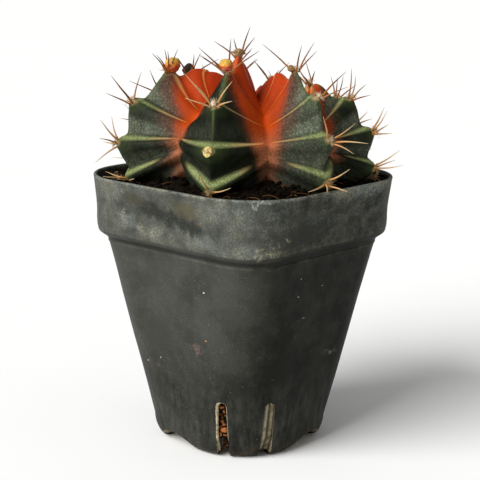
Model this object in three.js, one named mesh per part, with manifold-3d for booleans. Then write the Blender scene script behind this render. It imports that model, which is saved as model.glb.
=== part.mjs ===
// A potted moon cactus: a squat globe of eight sharp ribs with a sunken top, rooted in soil,
// in a square plastic nursery pot with a deep rim, corner feet and drainage slots.
// Millimetres, +Z up. The origin is the middle of the pot's four feet, on the plane they stand on.
// The pot's flat sides face along X and Y.

import * as THREE from "three";
import { mergeVertices } from "three/addons/utils/BufferGeometryUtils.js";
import Module from "manifold-3d";

const wasm = await Module();
wasm.setup();

// Clearance between pieces that touch
const GAP = 0.3;

// Pot: half widths across the flats and corner radii, from the feet up
const POT_HEIGHT = 76;
const WALL = 1;
const BASE = { half: 22.9, corner: 19 };
const BASE_EDGE = { inward: 4.2, height: 6.2, steps: 4 };
const BODY_TOP = { z: 58, half: 29.8, corner: 10.7 };
const RIM_FOOT = { z: 60.3, half: 31.6, corner: 11.4 };
const RIM_TOP = { z: POT_HEIGHT, half: 35.1, corner: 18.9 };
const BODY_RINGS = 3;
const RIM_RINGS = 2;
const CORNER_STEPS = 7;

// Pot floor, raised on corner feet with low arches between them
const FLOOR_UNDER = 4.5;
const FLOOR_TOP = 5.5;
const FOOT_WIDTH = 2.6;
const ARCH = { turn: 58.5, width: 16, height: 4.2, segments: 20 };

// Drainage slots, two at the front corner and two at the back. Their turns and the arches' are taken
// from these corners.
const SLOT = { turn: 14.5, height: 17.4, bottom: 3.6, top: 3, from: 17, to: 32, segments: 4 };
const SLOTTED_CORNERS = [45, 225];

// Soil surface: heaped into the furrows of the plant, lower at the wall
const SOIL = { heap: 77.2, wall: 74.8, near: 25, far: 33, crumb: 0.35, columns: 48, rings: 6 };

// The axis of the cactus stands a little beside the pot's
const CACTUS = { x: 1.7, y: -1.5 };

// Crest of a rib and bottom of a furrow, as [radius, height] from the neck to the middle of the top.
// Points 2 to 5 of the crest are its areoles, and point 6 the youngest one, which not every rib has.
const CREST = [[18, 69], [27, 71.6], [35.4, 76.6], [36.8, 87.1], [32.2, 97.8], [22, 104.8],
  [13, 104.6], [6.5, 102], [0, 97]];
const FURROW = [[18, 69], [22, 74], [26, 81], [27.4, 87.5], [21, 93.2], [14, 96],
  [8, 96.8], [4, 96.8], [0, 97]];
const FIRST_AREOLE = 2;
const YOUNGEST = 6;

// Buried base of the stem below the neck, as [radius, height]
const ROOT = [[8, 57.6], [13.5, 61], [17, 65.5]];
const ROOT_TIP = 57;

// Ribs: compass turn in degrees, radius factor, extra height of the top and of the youngest areole,
// shift of the areoles up the rib, and how many areoles it has. Fans give the spines of an areole that
// show in the photograph: turn from the rib's upward line and lean out of the skin in degrees, length.
// The other areoles get theirs by rule, with the rib's mean spine length.
const RIBS = [
  {
    turn: -157, reach: 0.98, rise: 1.5, peak: 3, slip: -0.05, areoles: 5,
    fans: [
      [[-15, 15, 8.5], [65, 10, 7.5]],
      [],
      [[-115, 30, 7.5], [-105, 65, 7.5], [-75, 50, 10.5], [55, 35, 7.5], [110, 25, 7.5]],
      [[-110, 40, 9], [-120, 30, 8], [35, 75, 7.5], [75, 25, 9.5]],
      [[-95, 20, 7.5], [-35, 35, 7.5], [55, 70, 7.5], [25, 40, 7.5]],
    ],
  },
  {
    turn: -103, reach: 0.935, rise: 0.6, peak: 0, slip: 0.2, areoles: 4,
    fans: [
      [[-95, 15, 10], [15, 50, 7.5], [-115, 40, 7.5], [-145, 80, 7.5]],
      [[65, 60, 7.5], [130, 45, 9.5], [165, 35, 7.5], [-40, 30, 7.5]],
      [[-35, 45, 10], [135, 40, 8], [110, 60, 9]],
      [[-55, 40, 10.5], [-165, 40, 7.5], [135, 45, 8], [155, 25, 7.5]],
    ],
  },
  {
    turn: -66, reach: 0.95, rise: -3.4, peak: 0, slip: 0.35, areoles: 3,
    fans: [
      [[0, 50, 8], [-50, 75, 7.5], [75, 30, 7]],
      [[-35, 50, 7.5], [-95, 40, 7.5], [-120, 35, 7.5], [60, 35, 7]],
      [[-40, 65, 7.5], [-125, 40, 7.5], [-140, 20, 7.5], [70, 35, 7]],
    ],
  },
  { turn: -20, reach: 0.9, rise: -5, peak: 0, slip: 0.2, areoles: 4, spine: 6.6 },
  { turn: 25, reach: 0.92, rise: -5, peak: 0, slip: 0.1, areoles: 4, spine: 6.6 },
  { turn: 62, reach: 0.96, rise: -4, peak: 2, slip: 0.2, areoles: 5, spine: 9 },
  { turn: 103, reach: 0.95, rise: -3, peak: 0, slip: 0.1, areoles: 4, spine: 9 },
  {
    turn: 149, reach: 1.03, rise: 0.4, peak: 0, slip: -0.15, areoles: 4,
    fans: [
      [[35, 40, 7.5], [85, 25, 7.5], [105, 0, 9], [-70, 30, 7]],
      [[20, 50, 7.5], [-30, 15, 7.5], [90, 45, 7.5], [165, 25, 8], [-100, 5, 8]],
      [[145, 50, 7.5], [95, 45, 7.5], [-65, 80, 7.5], [15, 25, 8]],
      [[140, 40, 7.5], [125, 35, 7.5], [95, 40, 7.5], [65, 40, 7.5], [-75, 35, 7]],
    ],
  },
];
const RIB_COLUMNS = 8;
const ROWS_PER_STEP = 4;

// Relief of the skin: a hollow above each areole, deepest on the crest and still there in the furrow
const HOLLOW = 2.2;
const HOLLOW_AT = 0.3;
const HOLLOW_FLANK = 0.3;
const CREST_ROUND = 0.06;

// Flanks swell beside the low areoles and are hollow all along higher up: [level, value] rows. Hollows
// slant towards the middle level from the crest to the furrow.
const FLANK_POWER = [[3, 0.95], [3.6, 0.74], [5, 0.84], [6, 1.15]];
const FLANK_SWELL = [[3, 0.3], [3.6, 0.06]];
const SLANT = { share: 0.42, level: 3 };

// Spines by rule on the ribs with no fans of their own
const FAN = [-98, -48, 50, 102];
const FAN_JITTER = 24;
const LEAN = { least: 25, most: 50 };
const SPINE = { usual: 7.5, spread: 0.3, radius: 0.3, sunk: 0.9, apart: 0.8, bend: 0.7, lowest: 77.4,
  young: 0.75 };
const SEED = 7;

// Woolly pad of an areole, raised from the skin: its height, and its width in steps of the rib
const PAD = { height: 0.7, width: 0.2 };

// Buds, by rib and areole: radius, and how far they stand up the rib, across it and out of the skin
const BUDS = [
  { rib: 7, order: 3, radius: 2.1, up: 1.6, across: 0.3, out: 1 },
  { rib: 0, order: 3, radius: 1.8, up: 0.6, across: -0.4, out: 1 },
  { rib: 1, order: 3, radius: 0.9, up: 0.4, across: -1.2, out: 0.3 },
  { rib: 6, order: 3, radius: 1.7, up: 0, across: 1, out: 0.9 },
];

const materials = {
  pot: new THREE.MeshStandardMaterial({ color: 0x45463f, roughness: 0.72, metalness: 0 }),
  soil: new THREE.MeshStandardMaterial({ color: 0x1a1610, roughness: 1, metalness: 0 }),
  cactus: new THREE.MeshStandardMaterial({ color: 0x4d5640, roughness: 0.6, metalness: 0 }),
};

const radians = THREE.MathUtils.degToRad;
const lerp = THREE.MathUtils.lerp;
const clamp = THREE.MathUtils.clamp;

// A repeatable number from 0 to 1 for each index
function draw(index) {
  const value = Math.sin(index * 12.9898 + SEED) * 43758.5453;
  return value - Math.floor(value);
}

// A closed solid from a geometry
function solid(geometry) {
  const bare = geometry.clone();
  bare.deleteAttribute("normal");
  bare.deleteAttribute("uv");
  const merged = mergeVertices(bare, 1e-4);
  return new wasm.Manifold(new wasm.Mesh({
    numProp: 3,
    vertProperties: new Float32Array(merged.attributes.position.array),
    triVerts: new Uint32Array(merged.index.array),
  }));
}

// A named mesh from a closed solid
function meshOf(name, body) {
  const data = body.getMesh();
  const geometry = new THREE.BufferGeometry();
  geometry.setAttribute("position", new THREE.Float32BufferAttribute(data.vertProperties, 3));
  geometry.setIndex(new THREE.Uint32BufferAttribute(data.triVerts, 1));
  geometry.computeVertexNormals();
  const mesh = new THREE.Mesh(geometry, materials[name]);
  mesh.name = name;
  return mesh;
}

// The middle of a ring of points
function middle(ring) {
  const sum = ring.reduce((total, point) => total.map((value, axis) => value + point[axis]));
  return sum.map((value) => value / ring.length);
}

// A closed skin over stacked rings with the same number of points, closed by a fan at each end
function loft(rings, lowerEnd = middle(rings[0]), upperEnd = middle(rings.at(-1))) {
  const count = rings[0].length;
  const points = [...rings.flat(), lowerEnd, upperEnd];
  const lower = points.length - 2;
  const upper = points.length - 1;
  const last = (rings.length - 1) * count;
  const faces = [];
  for (let column = 0; column < count; column += 1) {
    const next = (column + 1) % count;
    for (let row = 0; row < last; row += count) {
      faces.push(row + column, row + next, row + count + next);
      faces.push(row + column, row + count + next, row + count + column);
    }
    faces.push(lower, next, column);
    faces.push(upper, last + column, last + next);
  }
  const geometry = new THREE.BufferGeometry();
  geometry.setAttribute("position", new THREE.Float32BufferAttribute(points.flat(), 3));
  geometry.setIndex(faces);
  return geometry;
}

// One level of the pot: a square with round corners, counter-clockwise from above
function squareRing({ half, corner, z }) {
  const ring = [];
  const centre = half - corner;
  for (let quarter = 0; quarter < 4; quarter += 1) {
    const diagonal = radians(45 + 90 * quarter);
    for (let step = 0; step <= CORNER_STEPS; step += 1) {
      const angle = radians(90 * (quarter + step / CORNER_STEPS));
      ring.push([
        centre * Math.SQRT2 * Math.cos(diagonal) + corner * Math.cos(angle),
        centre * Math.SQRT2 * Math.sin(diagonal) + corner * Math.sin(angle),
        z,
      ]);
    }
  }
  return ring;
}

function between(lower, upper, share) {
  return {
    z: lerp(lower.z, upper.z, share),
    half: lerp(lower.half, upper.half, share),
    corner: lerp(lower.corner, upper.corner, share),
  };
}

// Levels of the pot's outside above its rounded bottom edge
function wallLevels() {
  const levels = [];
  const foot = { z: BASE_EDGE.height, ...BASE };
  for (let ring = 0; ring <= BODY_RINGS; ring += 1) {
    levels.push(between(foot, BODY_TOP, ring / BODY_RINGS));
  }
  for (let ring = 0; ring <= RIM_RINGS; ring += 1) {
    levels.push(between(RIM_FOOT, RIM_TOP, ring / RIM_RINGS));
  }
  return levels;
}

// Levels of the rounded bottom edge, a quarter of an ellipse
function edgeLevels() {
  const levels = [];
  for (let step = 0; step < BASE_EDGE.steps; step += 1) {
    const angle = radians(90 * step / BASE_EDGE.steps);
    const inward = BASE_EDGE.inward * (1 - Math.sin(angle));
    const z = BASE_EDGE.height * (1 - Math.cos(angle));
    levels.push(shrunk({ z, ...BASE }, inward));
  }
  return levels;
}

function shrunk(level, amount) {
  return { z: level.z, half: level.half - amount, corner: level.corner - amount };
}

// Levels of the space inside the wall, less a clearance, from its floor up
function insideLevels(clearance) {
  const inside = wallLevels().map((level) => shrunk(level, WALL + clearance));
  const floor = shrunk({ z: FLOOR_TOP + clearance, ...BASE }, WALL + 2 * clearance);
  return [floor, ...inside];
}

// The low arch between two feet
function archCutter(turn) {
  const half = ARCH.width / 2;
  const radius = (half * half + ARCH.height * ARCH.height) / (2 * ARCH.height);
  const cylinder = new THREE.CylinderGeometry(radius, radius, BASE.half, ARCH.segments);
  cylinder.translate(0, BASE.half, ARCH.height - radius);
  cylinder.rotateZ(radians(turn - 90));
  return solid(cylinder);
}

// A round-topped slot that widens downwards and is open at the foot
function slotCutter(turn) {
  const shape = new THREE.Shape();
  const shoulder = SLOT.height - SLOT.top / 2;
  shape.moveTo(-SLOT.bottom / 2, -1);
  shape.lineTo(SLOT.bottom / 2, -1);
  shape.lineTo(SLOT.top / 2, shoulder);
  shape.absarc(0, shoulder, SLOT.top / 2, 0, Math.PI, false);
  shape.closePath();
  const cutter = new THREE.ExtrudeGeometry(shape, {
    depth: SLOT.to - SLOT.from,
    bevelEnabled: false,
    curveSegments: SLOT.segments,
  });
  const tangent = new THREE.Vector3(0, 1, 0);
  const up = new THREE.Vector3(0, 0, 1);
  const outward = new THREE.Vector3(1, 0, 0);
  cutter.applyMatrix4(new THREE.Matrix4().makeBasis(tangent, up, outward));
  cutter.translate(SLOT.from, 0, 0);
  cutter.rotateZ(radians(turn));
  return solid(cutter);
}

function buildPot() {
  const outside = solid(loft([...edgeLevels(), ...wallLevels()].map(squareRing)));
  const levels = insideLevels(0);
  const mouth = { ...levels.at(-1), z: POT_HEIGHT + 1 };
  const inside = solid(loft([...levels, mouth].map(squareRing)));
  const foot = shrunk({ z: -1, ...BASE }, BASE_EDGE.inward + FOOT_WIDTH);
  const recess = solid(loft([foot, { ...foot, z: FLOOR_UNDER }].map(squareRing)));
  let pot = outside.subtract(inside).subtract(recess);
  for (const corner of SLOTTED_CORNERS) {
    for (const side of [-1, 1]) {
      pot = pot.subtract(archCutter(corner + side * ARCH.turn));
      pot = pot.subtract(slotCutter(corner + side * SLOT.turn));
    }
  }
  return pot;
}

// Height of the soil: heaped round the plant, with small crumbs
function soilHeight(x, y) {
  const distance = Math.hypot(x - CACTUS.x, y - CACTUS.y);
  const share = THREE.MathUtils.smoothstep(distance, SOIL.near, SOIL.far);
  const crumbs = Math.sin(0.9 * x + 1.3 * Math.sin(0.7 * y)) * Math.cos(0.8 * y - 0.9 * Math.sin(0.6 * x));
  return lerp(SOIL.heap, SOIL.wall, share) + SOIL.crumb * crumbs;
}

// Distance from the pot's axis to a level's outline along a direction in the first quarter
function outlineReach([x, y], { half, corner }) {
  const flat = half - corner;
  const side = half / Math.max(x, y);
  if (Math.min(x, y) * side <= flat) {
    return side;
  }
  const along = flat * (x + y);
  return along + Math.sqrt(along * along - 2 * flat * flat + corner * corner);
}

// A level's outline at evenly spread compass turns
function evenRing(level) {
  const ring = [];
  for (let column = 0; column < SOIL.columns; column += 1) {
    const angle = 2 * Math.PI * column / SOIL.columns;
    const direction = [Math.cos(angle), Math.sin(angle)];
    const reach = outlineReach(direction.map(Math.abs), level);
    ring.push([direction[0] * reach, direction[1] * reach, level.z]);
  }
  return ring;
}

// The filling of the pot, with a hole that the buried part of the cactus stands in
function buildSoil() {
  const edge = SOIL.wall - 2 * SOIL.crumb;
  const levels = insideLevels(GAP).filter((level) => level.z < edge);
  const share = (edge - RIM_FOOT.z) / (RIM_TOP.z - RIM_FOOT.z);
  levels.push(shrunk(between(RIM_FOOT, RIM_TOP, share), WALL + GAP));
  const rings = levels.map(evenRing);
  const border = rings.at(-1);
  for (let ring = 0; ring < SOIL.rings; ring += 1) {
    const inward = 0.985 - ring / SOIL.rings;
    rings.push(border.map(([x, y]) => [x * inward, y * inward, soilHeight(x * inward, y * inward)]));
  }
  return solid(loft(rings)).subtract(skin(GAP));
}

// A smooth curve through [radius, height] points, which lie at whole values of t
function onCurve(points, t) {
  const curve = new THREE.SplineCurve(points.map(([radius, z]) => new THREE.Vector2(radius, z)));
  return curve.getPoint(clamp(t / (points.length - 1), 0, 1));
}

// Full from the first areole to the youngest, fading to the neck and to the middle of the top
function fade(t) {
  const end = CREST.length - 1;
  return clamp(t / FIRST_AREOLE, 0, 1) * clamp((end - t) / (end - YOUNGEST), 0, 1);
}

// The curve of a rib or furrow with its own reach, rise and peak
function shaped(points, { reach, rise, peak }) {
  return points.map(([radius, z], index) => {
    const lift = rise * clamp((index - FIRST_AREOLE) / 3, 0, 1) * fade(index);
    const top = index === YOUNGEST ? peak : 0;
    return [radius * (1 + (reach - 1) * fade(index)), z + lift + top];
  });
}

// A value read off [level, value] rows, straight between them
function valueAt(rows, t) {
  const last = rows.length - 1;
  const next = clamp(rows.filter(([level]) => level <= t).length, 1, last);
  const [from, start] = rows[next - 1];
  const [to, end] = rows[next];
  return lerp(start, end, clamp((t - from) / (to - from), 0, 1));
}

// The level whose hollow passes a place on the flank
function slanted(across, t) {
  return SLANT.level + (t - SLANT.level) / (1 - SLANT.share * Math.abs(across));
}

// Depth of the hollow: 0 level with an areole and 1 where it is deepest, with none past the youngest one
function hollow(level, t) {
  const step = level - Math.floor(level);
  const phase = step < HOLLOW_AT ? step / HOLLOW_AT : (1 - step) / (1 - HOLLOW_AT);
  return (0.5 - 0.5 * Math.cos(Math.PI * phase)) * fade(t) * clamp(YOUNGEST + 0.5 - level, 0, 1);
}

const crests = RIBS.map((rib) => shaped(CREST, rib));
const furrows = RIBS.map((rib, index) => {
  const next = RIBS[(index + 1) % RIBS.length];
  return shaped(FURROW, { reach: (rib.reach + next.reach) / 2, rise: (rib.rise + next.rise) / 4, peak: 0 });
});

// Degrees from a rib to the next one
function spacing(index) {
  const next = RIBS[(index + 1) % RIBS.length].turn;
  return THREE.MathUtils.euclideanModulo(next - RIBS[index].turn, 360);
}

// Height of the woolly pad at a point of a rib, if an areole is there
function padHeight(index, across, t) {
  const order = Math.round(t) - FIRST_AREOLE;
  const distance = Math.hypot(across, t - Math.round(t));
  return order >= 0 && order < RIBS[index].areoles ? PAD.height * Math.max(0, 1 - distance / PAD.width) : 0;
}

// A point of the ribbed skin: across runs from -1 to 1 over the rib, t from the neck to the top
function skinPoint(index, across, t, growth = 0) {
  const side = across < 0 ? (index + RIBS.length - 1) % RIBS.length : index;
  const slip = RIBS[index].slip * fade(t);
  const crest = onCurve(crests[index], t + slip);
  const ahead = onCurve(crests[index], t + slip + 0.05);
  const slope = Math.atan2(ahead.y - crest.y, ahead.x - crest.x);
  const furrow = onCurve(furrows[side], t);
  const sharp = (Math.hypot(across, CREST_ROUND) - CREST_ROUND) / (Math.hypot(1, CREST_ROUND) - CREST_ROUND);
  const sunk = hollow(slanted(across, t), t);
  const weight = 1 - sharp ** (valueAt(FLANK_POWER, t) + valueAt(FLANK_SWELL, t) * (1 - 2 * sunk));
  const depth = HOLLOW * sunk * lerp(HOLLOW_FLANK, 1, weight) - padHeight(index, across, t);
  const radius = lerp(furrow.x, crest.x, weight) - depth * Math.sin(slope) + 1.4 * growth;
  const turn = radians(RIBS[index].turn + across * spacing(side) / 2);
  return new THREE.Vector3(
    CACTUS.x + radius * Math.cos(turn),
    CACTUS.y + radius * Math.sin(turn),
    lerp(furrow.y, crest.y, weight) + depth * Math.cos(slope) - growth,
  );
}

// The buried base and the ribbed skin above it, grown by a clearance where it is to be cut out
function skin(growth = 0) {
  const columns = [];
  RIBS.forEach((rib, index) => {
    for (let column = 0; column < RIB_COLUMNS; column += 1) {
      columns.push([index, 2 * column / RIB_COLUMNS - 1]);
    }
  });
  const rings = ROOT.map(([radius, z]) => columns.map(([index, across]) => {
    const neck = skinPoint(index, across, 0);
    const share = (radius + growth) / CREST[0][0];
    return [lerp(CACTUS.x, neck.x, share), lerp(CACTUS.y, neck.y, share), z - growth];
  }));
  const steps = (CREST.length - 1) * ROWS_PER_STEP;
  for (let step = 0; step < steps; step += 1) {
    const t = step / ROWS_PER_STEP;
    rings.push(columns.map(([index, across]) => skinPoint(index, across, t, growth).toArray()));
  }
  const tip = [CACTUS.x, CACTUS.y, ROOT_TIP - growth];
  return solid(loft(rings, tip));
}

// Where an areole sits, with the directions out of the skin, up the rib and across it
function areole(index, order) {
  const t = FIRST_AREOLE + order;
  const point = skinPoint(index, 0, t);
  const up = skinPoint(index, 0, t + 0.2).sub(skinPoint(index, 0, t - 0.2)).normalize();
  const turn = radians(RIBS[index].turn);
  const across = new THREE.Vector3(-Math.sin(turn), Math.cos(turn), 0);
  const out = new THREE.Vector3().crossVectors(across, up).normalize();
  return { point, up, across, out };
}

// The fan of an areole with none of its own, by rule
function drawnFan(index, order) {
  return FAN.map((turn, number) => {
    const seed = 97 * index + 13 * order + number;
    const age = FIRST_AREOLE + order === YOUNGEST ? SPINE.young : 1;
    const mean = age * (RIBS[index].spine ?? SPINE.usual);
    return [
      turn + FAN_JITTER * (draw(seed) - 0.5),
      lerp(LEAN.least, LEAN.most, draw(seed + 0.3)),
      mean * (1 + SPINE.spread * (draw(seed + 0.6) - 0.5)),
    ];
  });
}

// A slim three-sided spine that bends a little outwards and stays clear of the soil and the rim.
// It is rooted a little to its own side of the areole's middle.
function spine(place, turn, lean, length) {
  const flat = place.up.clone().multiplyScalar(Math.cos(radians(turn)))
    .addScaledVector(place.across, Math.sin(radians(turn)));
  const heading = place.out.clone().multiplyScalar(Math.sin(radians(lean)))
    .addScaledVector(flat, Math.cos(radians(lean)));
  heading.z = Math.max(heading.z, (SPINE.lowest - place.point.z) / length);
  heading.normalize();
  const side = new THREE.Vector3().crossVectors(heading, place.out).normalize();
  const other = new THREE.Vector3().crossVectors(heading, side);
  const root = place.point.clone()
    .addScaledVector(flat, SPINE.apart)
    .addScaledVector(place.out, -SPINE.sunk);
  const at = (along) => place.point.clone()
    .addScaledVector(heading, along)
    .addScaledVector(place.out, SPINE.bend * (along / length) ** 2);
  const ring = (centre, width) => [0, 120, 240].map((degrees) => centre.clone()
    .addScaledVector(side, width * Math.cos(radians(degrees)))
    .addScaledVector(other, width * Math.sin(radians(degrees)))
    .toArray());
  const rings = [ring(root, SPINE.radius), ring(at(0.55 * length), 0.8 * SPINE.radius)];
  return solid(loft(rings, root.toArray(), at(length).toArray()));
}

function bud({ rib, order, radius, up, across, out }) {
  const place = areole(rib, order);
  const centre = place.point
    .addScaledVector(place.up, up)
    .addScaledVector(place.across, across)
    .addScaledVector(place.out, out);
  const ball = new THREE.IcosahedronGeometry(radius, 1);
  ball.translate(...centre.toArray());
  return solid(ball);
}

// Only the largest closed body: sealed hollows are filled and loose scraps dropped
function whole(body) {
  return body.decompose().reduce((best, next) => (next.volume() > best.volume() ? next : best));
}

function buildCactus() {
  let body = skin();
  RIBS.forEach((rib, index) => {
    for (let order = 0; order < rib.areoles; order += 1) {
      const place = areole(index, order);
      const fan = rib.fans?.[order] ?? drawnFan(index, order);
      for (const [turn, lean, length] of fan) {
        body = body.add(spine(place, turn, lean, length));
      }
    }
  });
  return whole(BUDS.reduce((joined, next) => joined.add(bud(next)), body));
}

const group = new THREE.Group();
group.add(meshOf("pot", buildPot()));
group.add(meshOf("soil", buildSoil()));
group.add(meshOf("cactus", buildCactus()));

export default group;
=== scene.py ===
# The looks of a potted moon cactus round its CAD solids: pot, soil and ribbed stem.
# Shapes are worked out in millimetres in the CAD's frame, with the same driving dimensions,
# and become metres when a piece is made.

import math

import bmesh
import bpy
import numpy as np
from mathutils import Matrix, Vector, noise


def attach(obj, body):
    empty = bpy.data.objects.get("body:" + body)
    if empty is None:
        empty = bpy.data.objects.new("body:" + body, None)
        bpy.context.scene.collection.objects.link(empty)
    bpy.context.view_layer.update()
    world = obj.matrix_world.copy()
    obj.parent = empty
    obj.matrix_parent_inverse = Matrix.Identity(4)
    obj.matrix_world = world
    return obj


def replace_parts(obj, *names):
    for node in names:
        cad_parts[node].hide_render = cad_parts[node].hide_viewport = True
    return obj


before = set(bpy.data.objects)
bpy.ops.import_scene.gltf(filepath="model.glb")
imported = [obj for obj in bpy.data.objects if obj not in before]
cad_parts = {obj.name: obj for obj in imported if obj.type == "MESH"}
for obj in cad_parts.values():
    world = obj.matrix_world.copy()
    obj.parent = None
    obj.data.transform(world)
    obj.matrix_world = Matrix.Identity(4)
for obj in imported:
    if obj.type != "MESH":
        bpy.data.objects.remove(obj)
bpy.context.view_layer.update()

MM = 0.001
GAP = 0.3

# Pot: half widths across the flats and corner radii, from the feet up. The bottom edge curves inward, and
# the edges of the feet and of the floor are eased.
POT_HEIGHT = 76
WALL = 1
BASE = {"half": 22.9, "corner": 19}
BASE_EDGE = {"inward": 4.2, "height": 6.2}
BODY_TOP = {"z": 58, "half": 29.8, "corner": 10.7}
RIM_FOOT = {"z": 60.3, "half": 31.6, "corner": 11.4}
RIM_TOP = {"z": POT_HEIGHT, "half": 35.1, "corner": 18.9}
FLOOR_UNDER = 4.5
FLOOR_TOP = 5.5
FLOOR_EDGE = 0.2
FOOT_WIDTH = 2.6
FOOT_EDGE = 0.3
ARCH = {"turn": 58.5, "width": 16, "height": 4.2}
SLOT = {"turn": 14.5, "height": 17.4, "bottom": 3.6, "top": 3, "from": 17, "to": 32}
SLOTTED_CORNERS = [45, 225]

# Steps round a corner and along a flat of the pot, and its levels in each stretch of the outside
CORNER_STEPS = 14
FLAT_STEPS = 12
LEVELS = {"edge": 8, "body": 13, "bead": 5, "ease": 5, "rim": 9, "lip": 7}

# Thin raised line under the rim, and soft unevenness of the thin plastic. Dents give compass turn, height,
# their widths and depth, and a depth below 0 stands out.
BEAD = {"below": 0.9, "height": 0.15, "width": 0.7}
WAVE = 0.2
DENTS = [
    {"turn": 182, "z": 69, "turn_width": 13, "z_width": 4, "depth": 1.3},
    {"turn": 196, "z": 66, "turn_width": 6, "z_width": 3, "depth": 0.5},
    {"turn": 133, "z": 62, "turn_width": 22, "z_width": 3.5, "depth": -0.6},
    {"turn": 313, "z": 62, "turn_width": 22, "z_width": 3.5, "depth": -0.6},
    {"turn": 251, "z": 65, "turn_width": 10, "z_width": 5, "depth": 0.5},
]

# Lime film, crusts, and stains with the painted shadow of a dent, on the wall: middle, reach along each axis,
# strength and colour
FILM = [
    {"at": (-29, -27, 61.5), "reach": (12, 13, 4), "share": 0.2},
    {"at": (-31, -22, 72), "reach": (10, 14, 5), "share": 0.25},
    {"at": (-33, -13, 63), "reach": (6, 8, 3), "share": 0.24},
    {"at": (-33, 3, 63), "reach": (6, 5, 3), "share": 0.3},
    {"at": (-33, 13, 65), "reach": (6, 6, 3), "share": 0.3},
    {"at": (-32, 16, 73), "reach": (8, 10, 4), "share": 0.3},
    {"at": (8, -35, 75), "reach": (20, 6, 3.4), "share": 0.6},
]
CRUSTS = [
    {"at": (-26.3, -28.2, 61.2), "reach": (3, 3, 1.3), "share": 0.6, "colour": (164, 160, 134)},
    {"at": (-23.5, -30.3, 62.6), "reach": (3, 3, 1.2), "share": 0.7, "colour": (160, 154, 118)},
    {"at": (-19, -32, 64.8), "reach": (2.4, 3, 1), "share": 0.8, "colour": (160, 154, 118)},
    {"at": (-27, -29.5, 75), "reach": (5, 5, 1.5), "share": 0.8, "colour": (164, 164, 150)},
    {"at": (-33, 8.5, 64), "reach": (3, 2.2, 1.6), "share": 0.42, "colour": (164, 160, 134)},
    {"at": (-32.5, 13.5, 66.5), "reach": (3, 2, 2), "share": 0.3, "colour": (150, 150, 138)},
    {"at": (-26.3, -7.9, 31.7), "reach": (3, 2.4, 2), "share": 0.45, "colour": (126, 104, 96)},
    {"at": (8.6, -25.7, 27.4), "reach": (4, 3, 1.4), "share": 0.4, "colour": (112, 112, 102)},
    {"at": (-22.9, 8.4, 24.5), "reach": (3, 4, 3), "share": 0.2, "colour": (120, 104, 90)},
]
STAINS_AND_DENT_SHADOWS = [
    {"at": (-34, -9.5, 70.8), "reach": (5, 7, 3.6), "colour": (76, 72, 54)},
    {"at": (-33, 9.5, 72), "reach": (5, 8, 2.8), "colour": (60, 58, 46)},
    # Painted shadow: these three dark spots run along the dent in the rim's left side.
    {"at": (-33.3, 3.5, 69), "reach": (5, 8, 3.2), "colour": (36, 37, 32)},
    {"at": (-33.6, -4.5, 68), "reach": (5, 8, 3.2), "colour": (30, 32, 28)},
    {"at": (-33.2, -11.5, 66.4), "reach": (5, 6, 3), "colour": (34, 36, 32)},
    {"at": (-13, -33, 65), "reach": (12, 6, 5), "colour": (40, 42, 36)},
    {"at": (-12.8, -25.5, 27), "reach": (9, 7, 8), "colour": (22, 22, 17)},
    {"at": (-26.5, 7, 33), "reach": (5, 10, 8), "colour": (50, 51, 45)},
]

# Along X, where the plastic begins to look lighter and where it is fully so: painted light on the side the
# key light falls on, with some bleaching
LIT_AND_BLEACHED_LEFT = {"from": -14, "to": -31}

# Bits stuck to the wall: compass turn, height, size and colour
SPECKS = [
    {"turn": 202.6, "z": 48.7, "size": 0.34, "colour": (196, 192, 176)},
    {"turn": 202.7, "z": 35, "size": 0.4, "colour": (150, 112, 70)},
    {"turn": 154.3, "z": 24.3, "size": 0.4, "colour": (180, 150, 114)},
    {"turn": 165.2, "z": 26.4, "size": 0.3, "colour": (178, 172, 154)},
    {"turn": 204.9, "z": 24.4, "size": 0.3, "colour": (140, 100, 64)},
    {"turn": 252.5, "z": 52.1, "size": 0.3, "colour": (150, 150, 142)},
    {"turn": 271.2, "z": 48.6, "size": 0.4, "colour": (164, 160, 150)},
    {"turn": 251.7, "z": 47.1, "size": 0.32, "colour": (168, 168, 160)},
    {"turn": 258, "z": 40.5, "size": 0.42, "colour": (116, 116, 106)},
    {"turn": 288.6, "z": 27.4, "size": 0.6, "colour": (104, 104, 94)},
    {"turn": 203, "z": 68, "size": 0.32, "colour": (140, 80, 60)},
    {"turn": 140, "z": 2.6, "size": 0.9, "colour": (112, 84, 42)},
    {"turn": 143, "z": 2.2, "size": 0.7, "colour": (134, 104, 58)},
]

# Soil surface: heaped into the furrows of the plant up to the near distance from its axis, and lower from
# the far one on
SOIL = {"heap": 77.2, "wall": 74.8, "near": 25, "far": 33, "crumb": 0.35, "under_plant": 1.5}
SOIL_COLUMNS = 180
SOIL_RINGS = 44
SOIL_INSET = 0.985
SOIL_LUMPS = [{"height": 0.5, "size": 3.1, "seed": 1}, {"height": 0.35, "size": 1.3, "seed": 4}]

# A crumb: how uneven it is and over what share of its size, its two lesser sizes, and its tilt
CRUMB = {"uneven": 0.35, "grain": 0.7, "lesser": (0.4, 0.8), "tilt": 0.5}

# Loose crumbs and threads on the soil
CRUMBS = {"count": 2300, "sizes": (0.25, 0.95), "lifts": (-0.2, 0.6), "tones": (0, 0.75)}
FIBRES = {"count": 90, "lengths": (2, 6), "lift": 0.7, "tones": (0, 0.8), "margin": 3}
THREAD = {"points": 8, "sides": 5, "radii": (0.05, 0.12), "bend": 0.9}

# Dry bits, every third of them a thread, gathered in two corners of the pot: compass turn, distance from the
# axis, reach
DRY_BITS = [
    {"turn": 311, "distance": 37, "reach": (1.8, 4), "count": 90, "tones": (0.3, 1)},
    {"turn": 141, "distance": 36.5, "reach": (1.6, 5), "count": 60, "tones": (0, 0.5)},
]
DRY = {"spread": 0.5, "inward": 1.6, "heights": (0, 0.9), "sizes": (0.2, 0.7), "lengths": (1.5, 3.5),
       "lift": 0.6}

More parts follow.
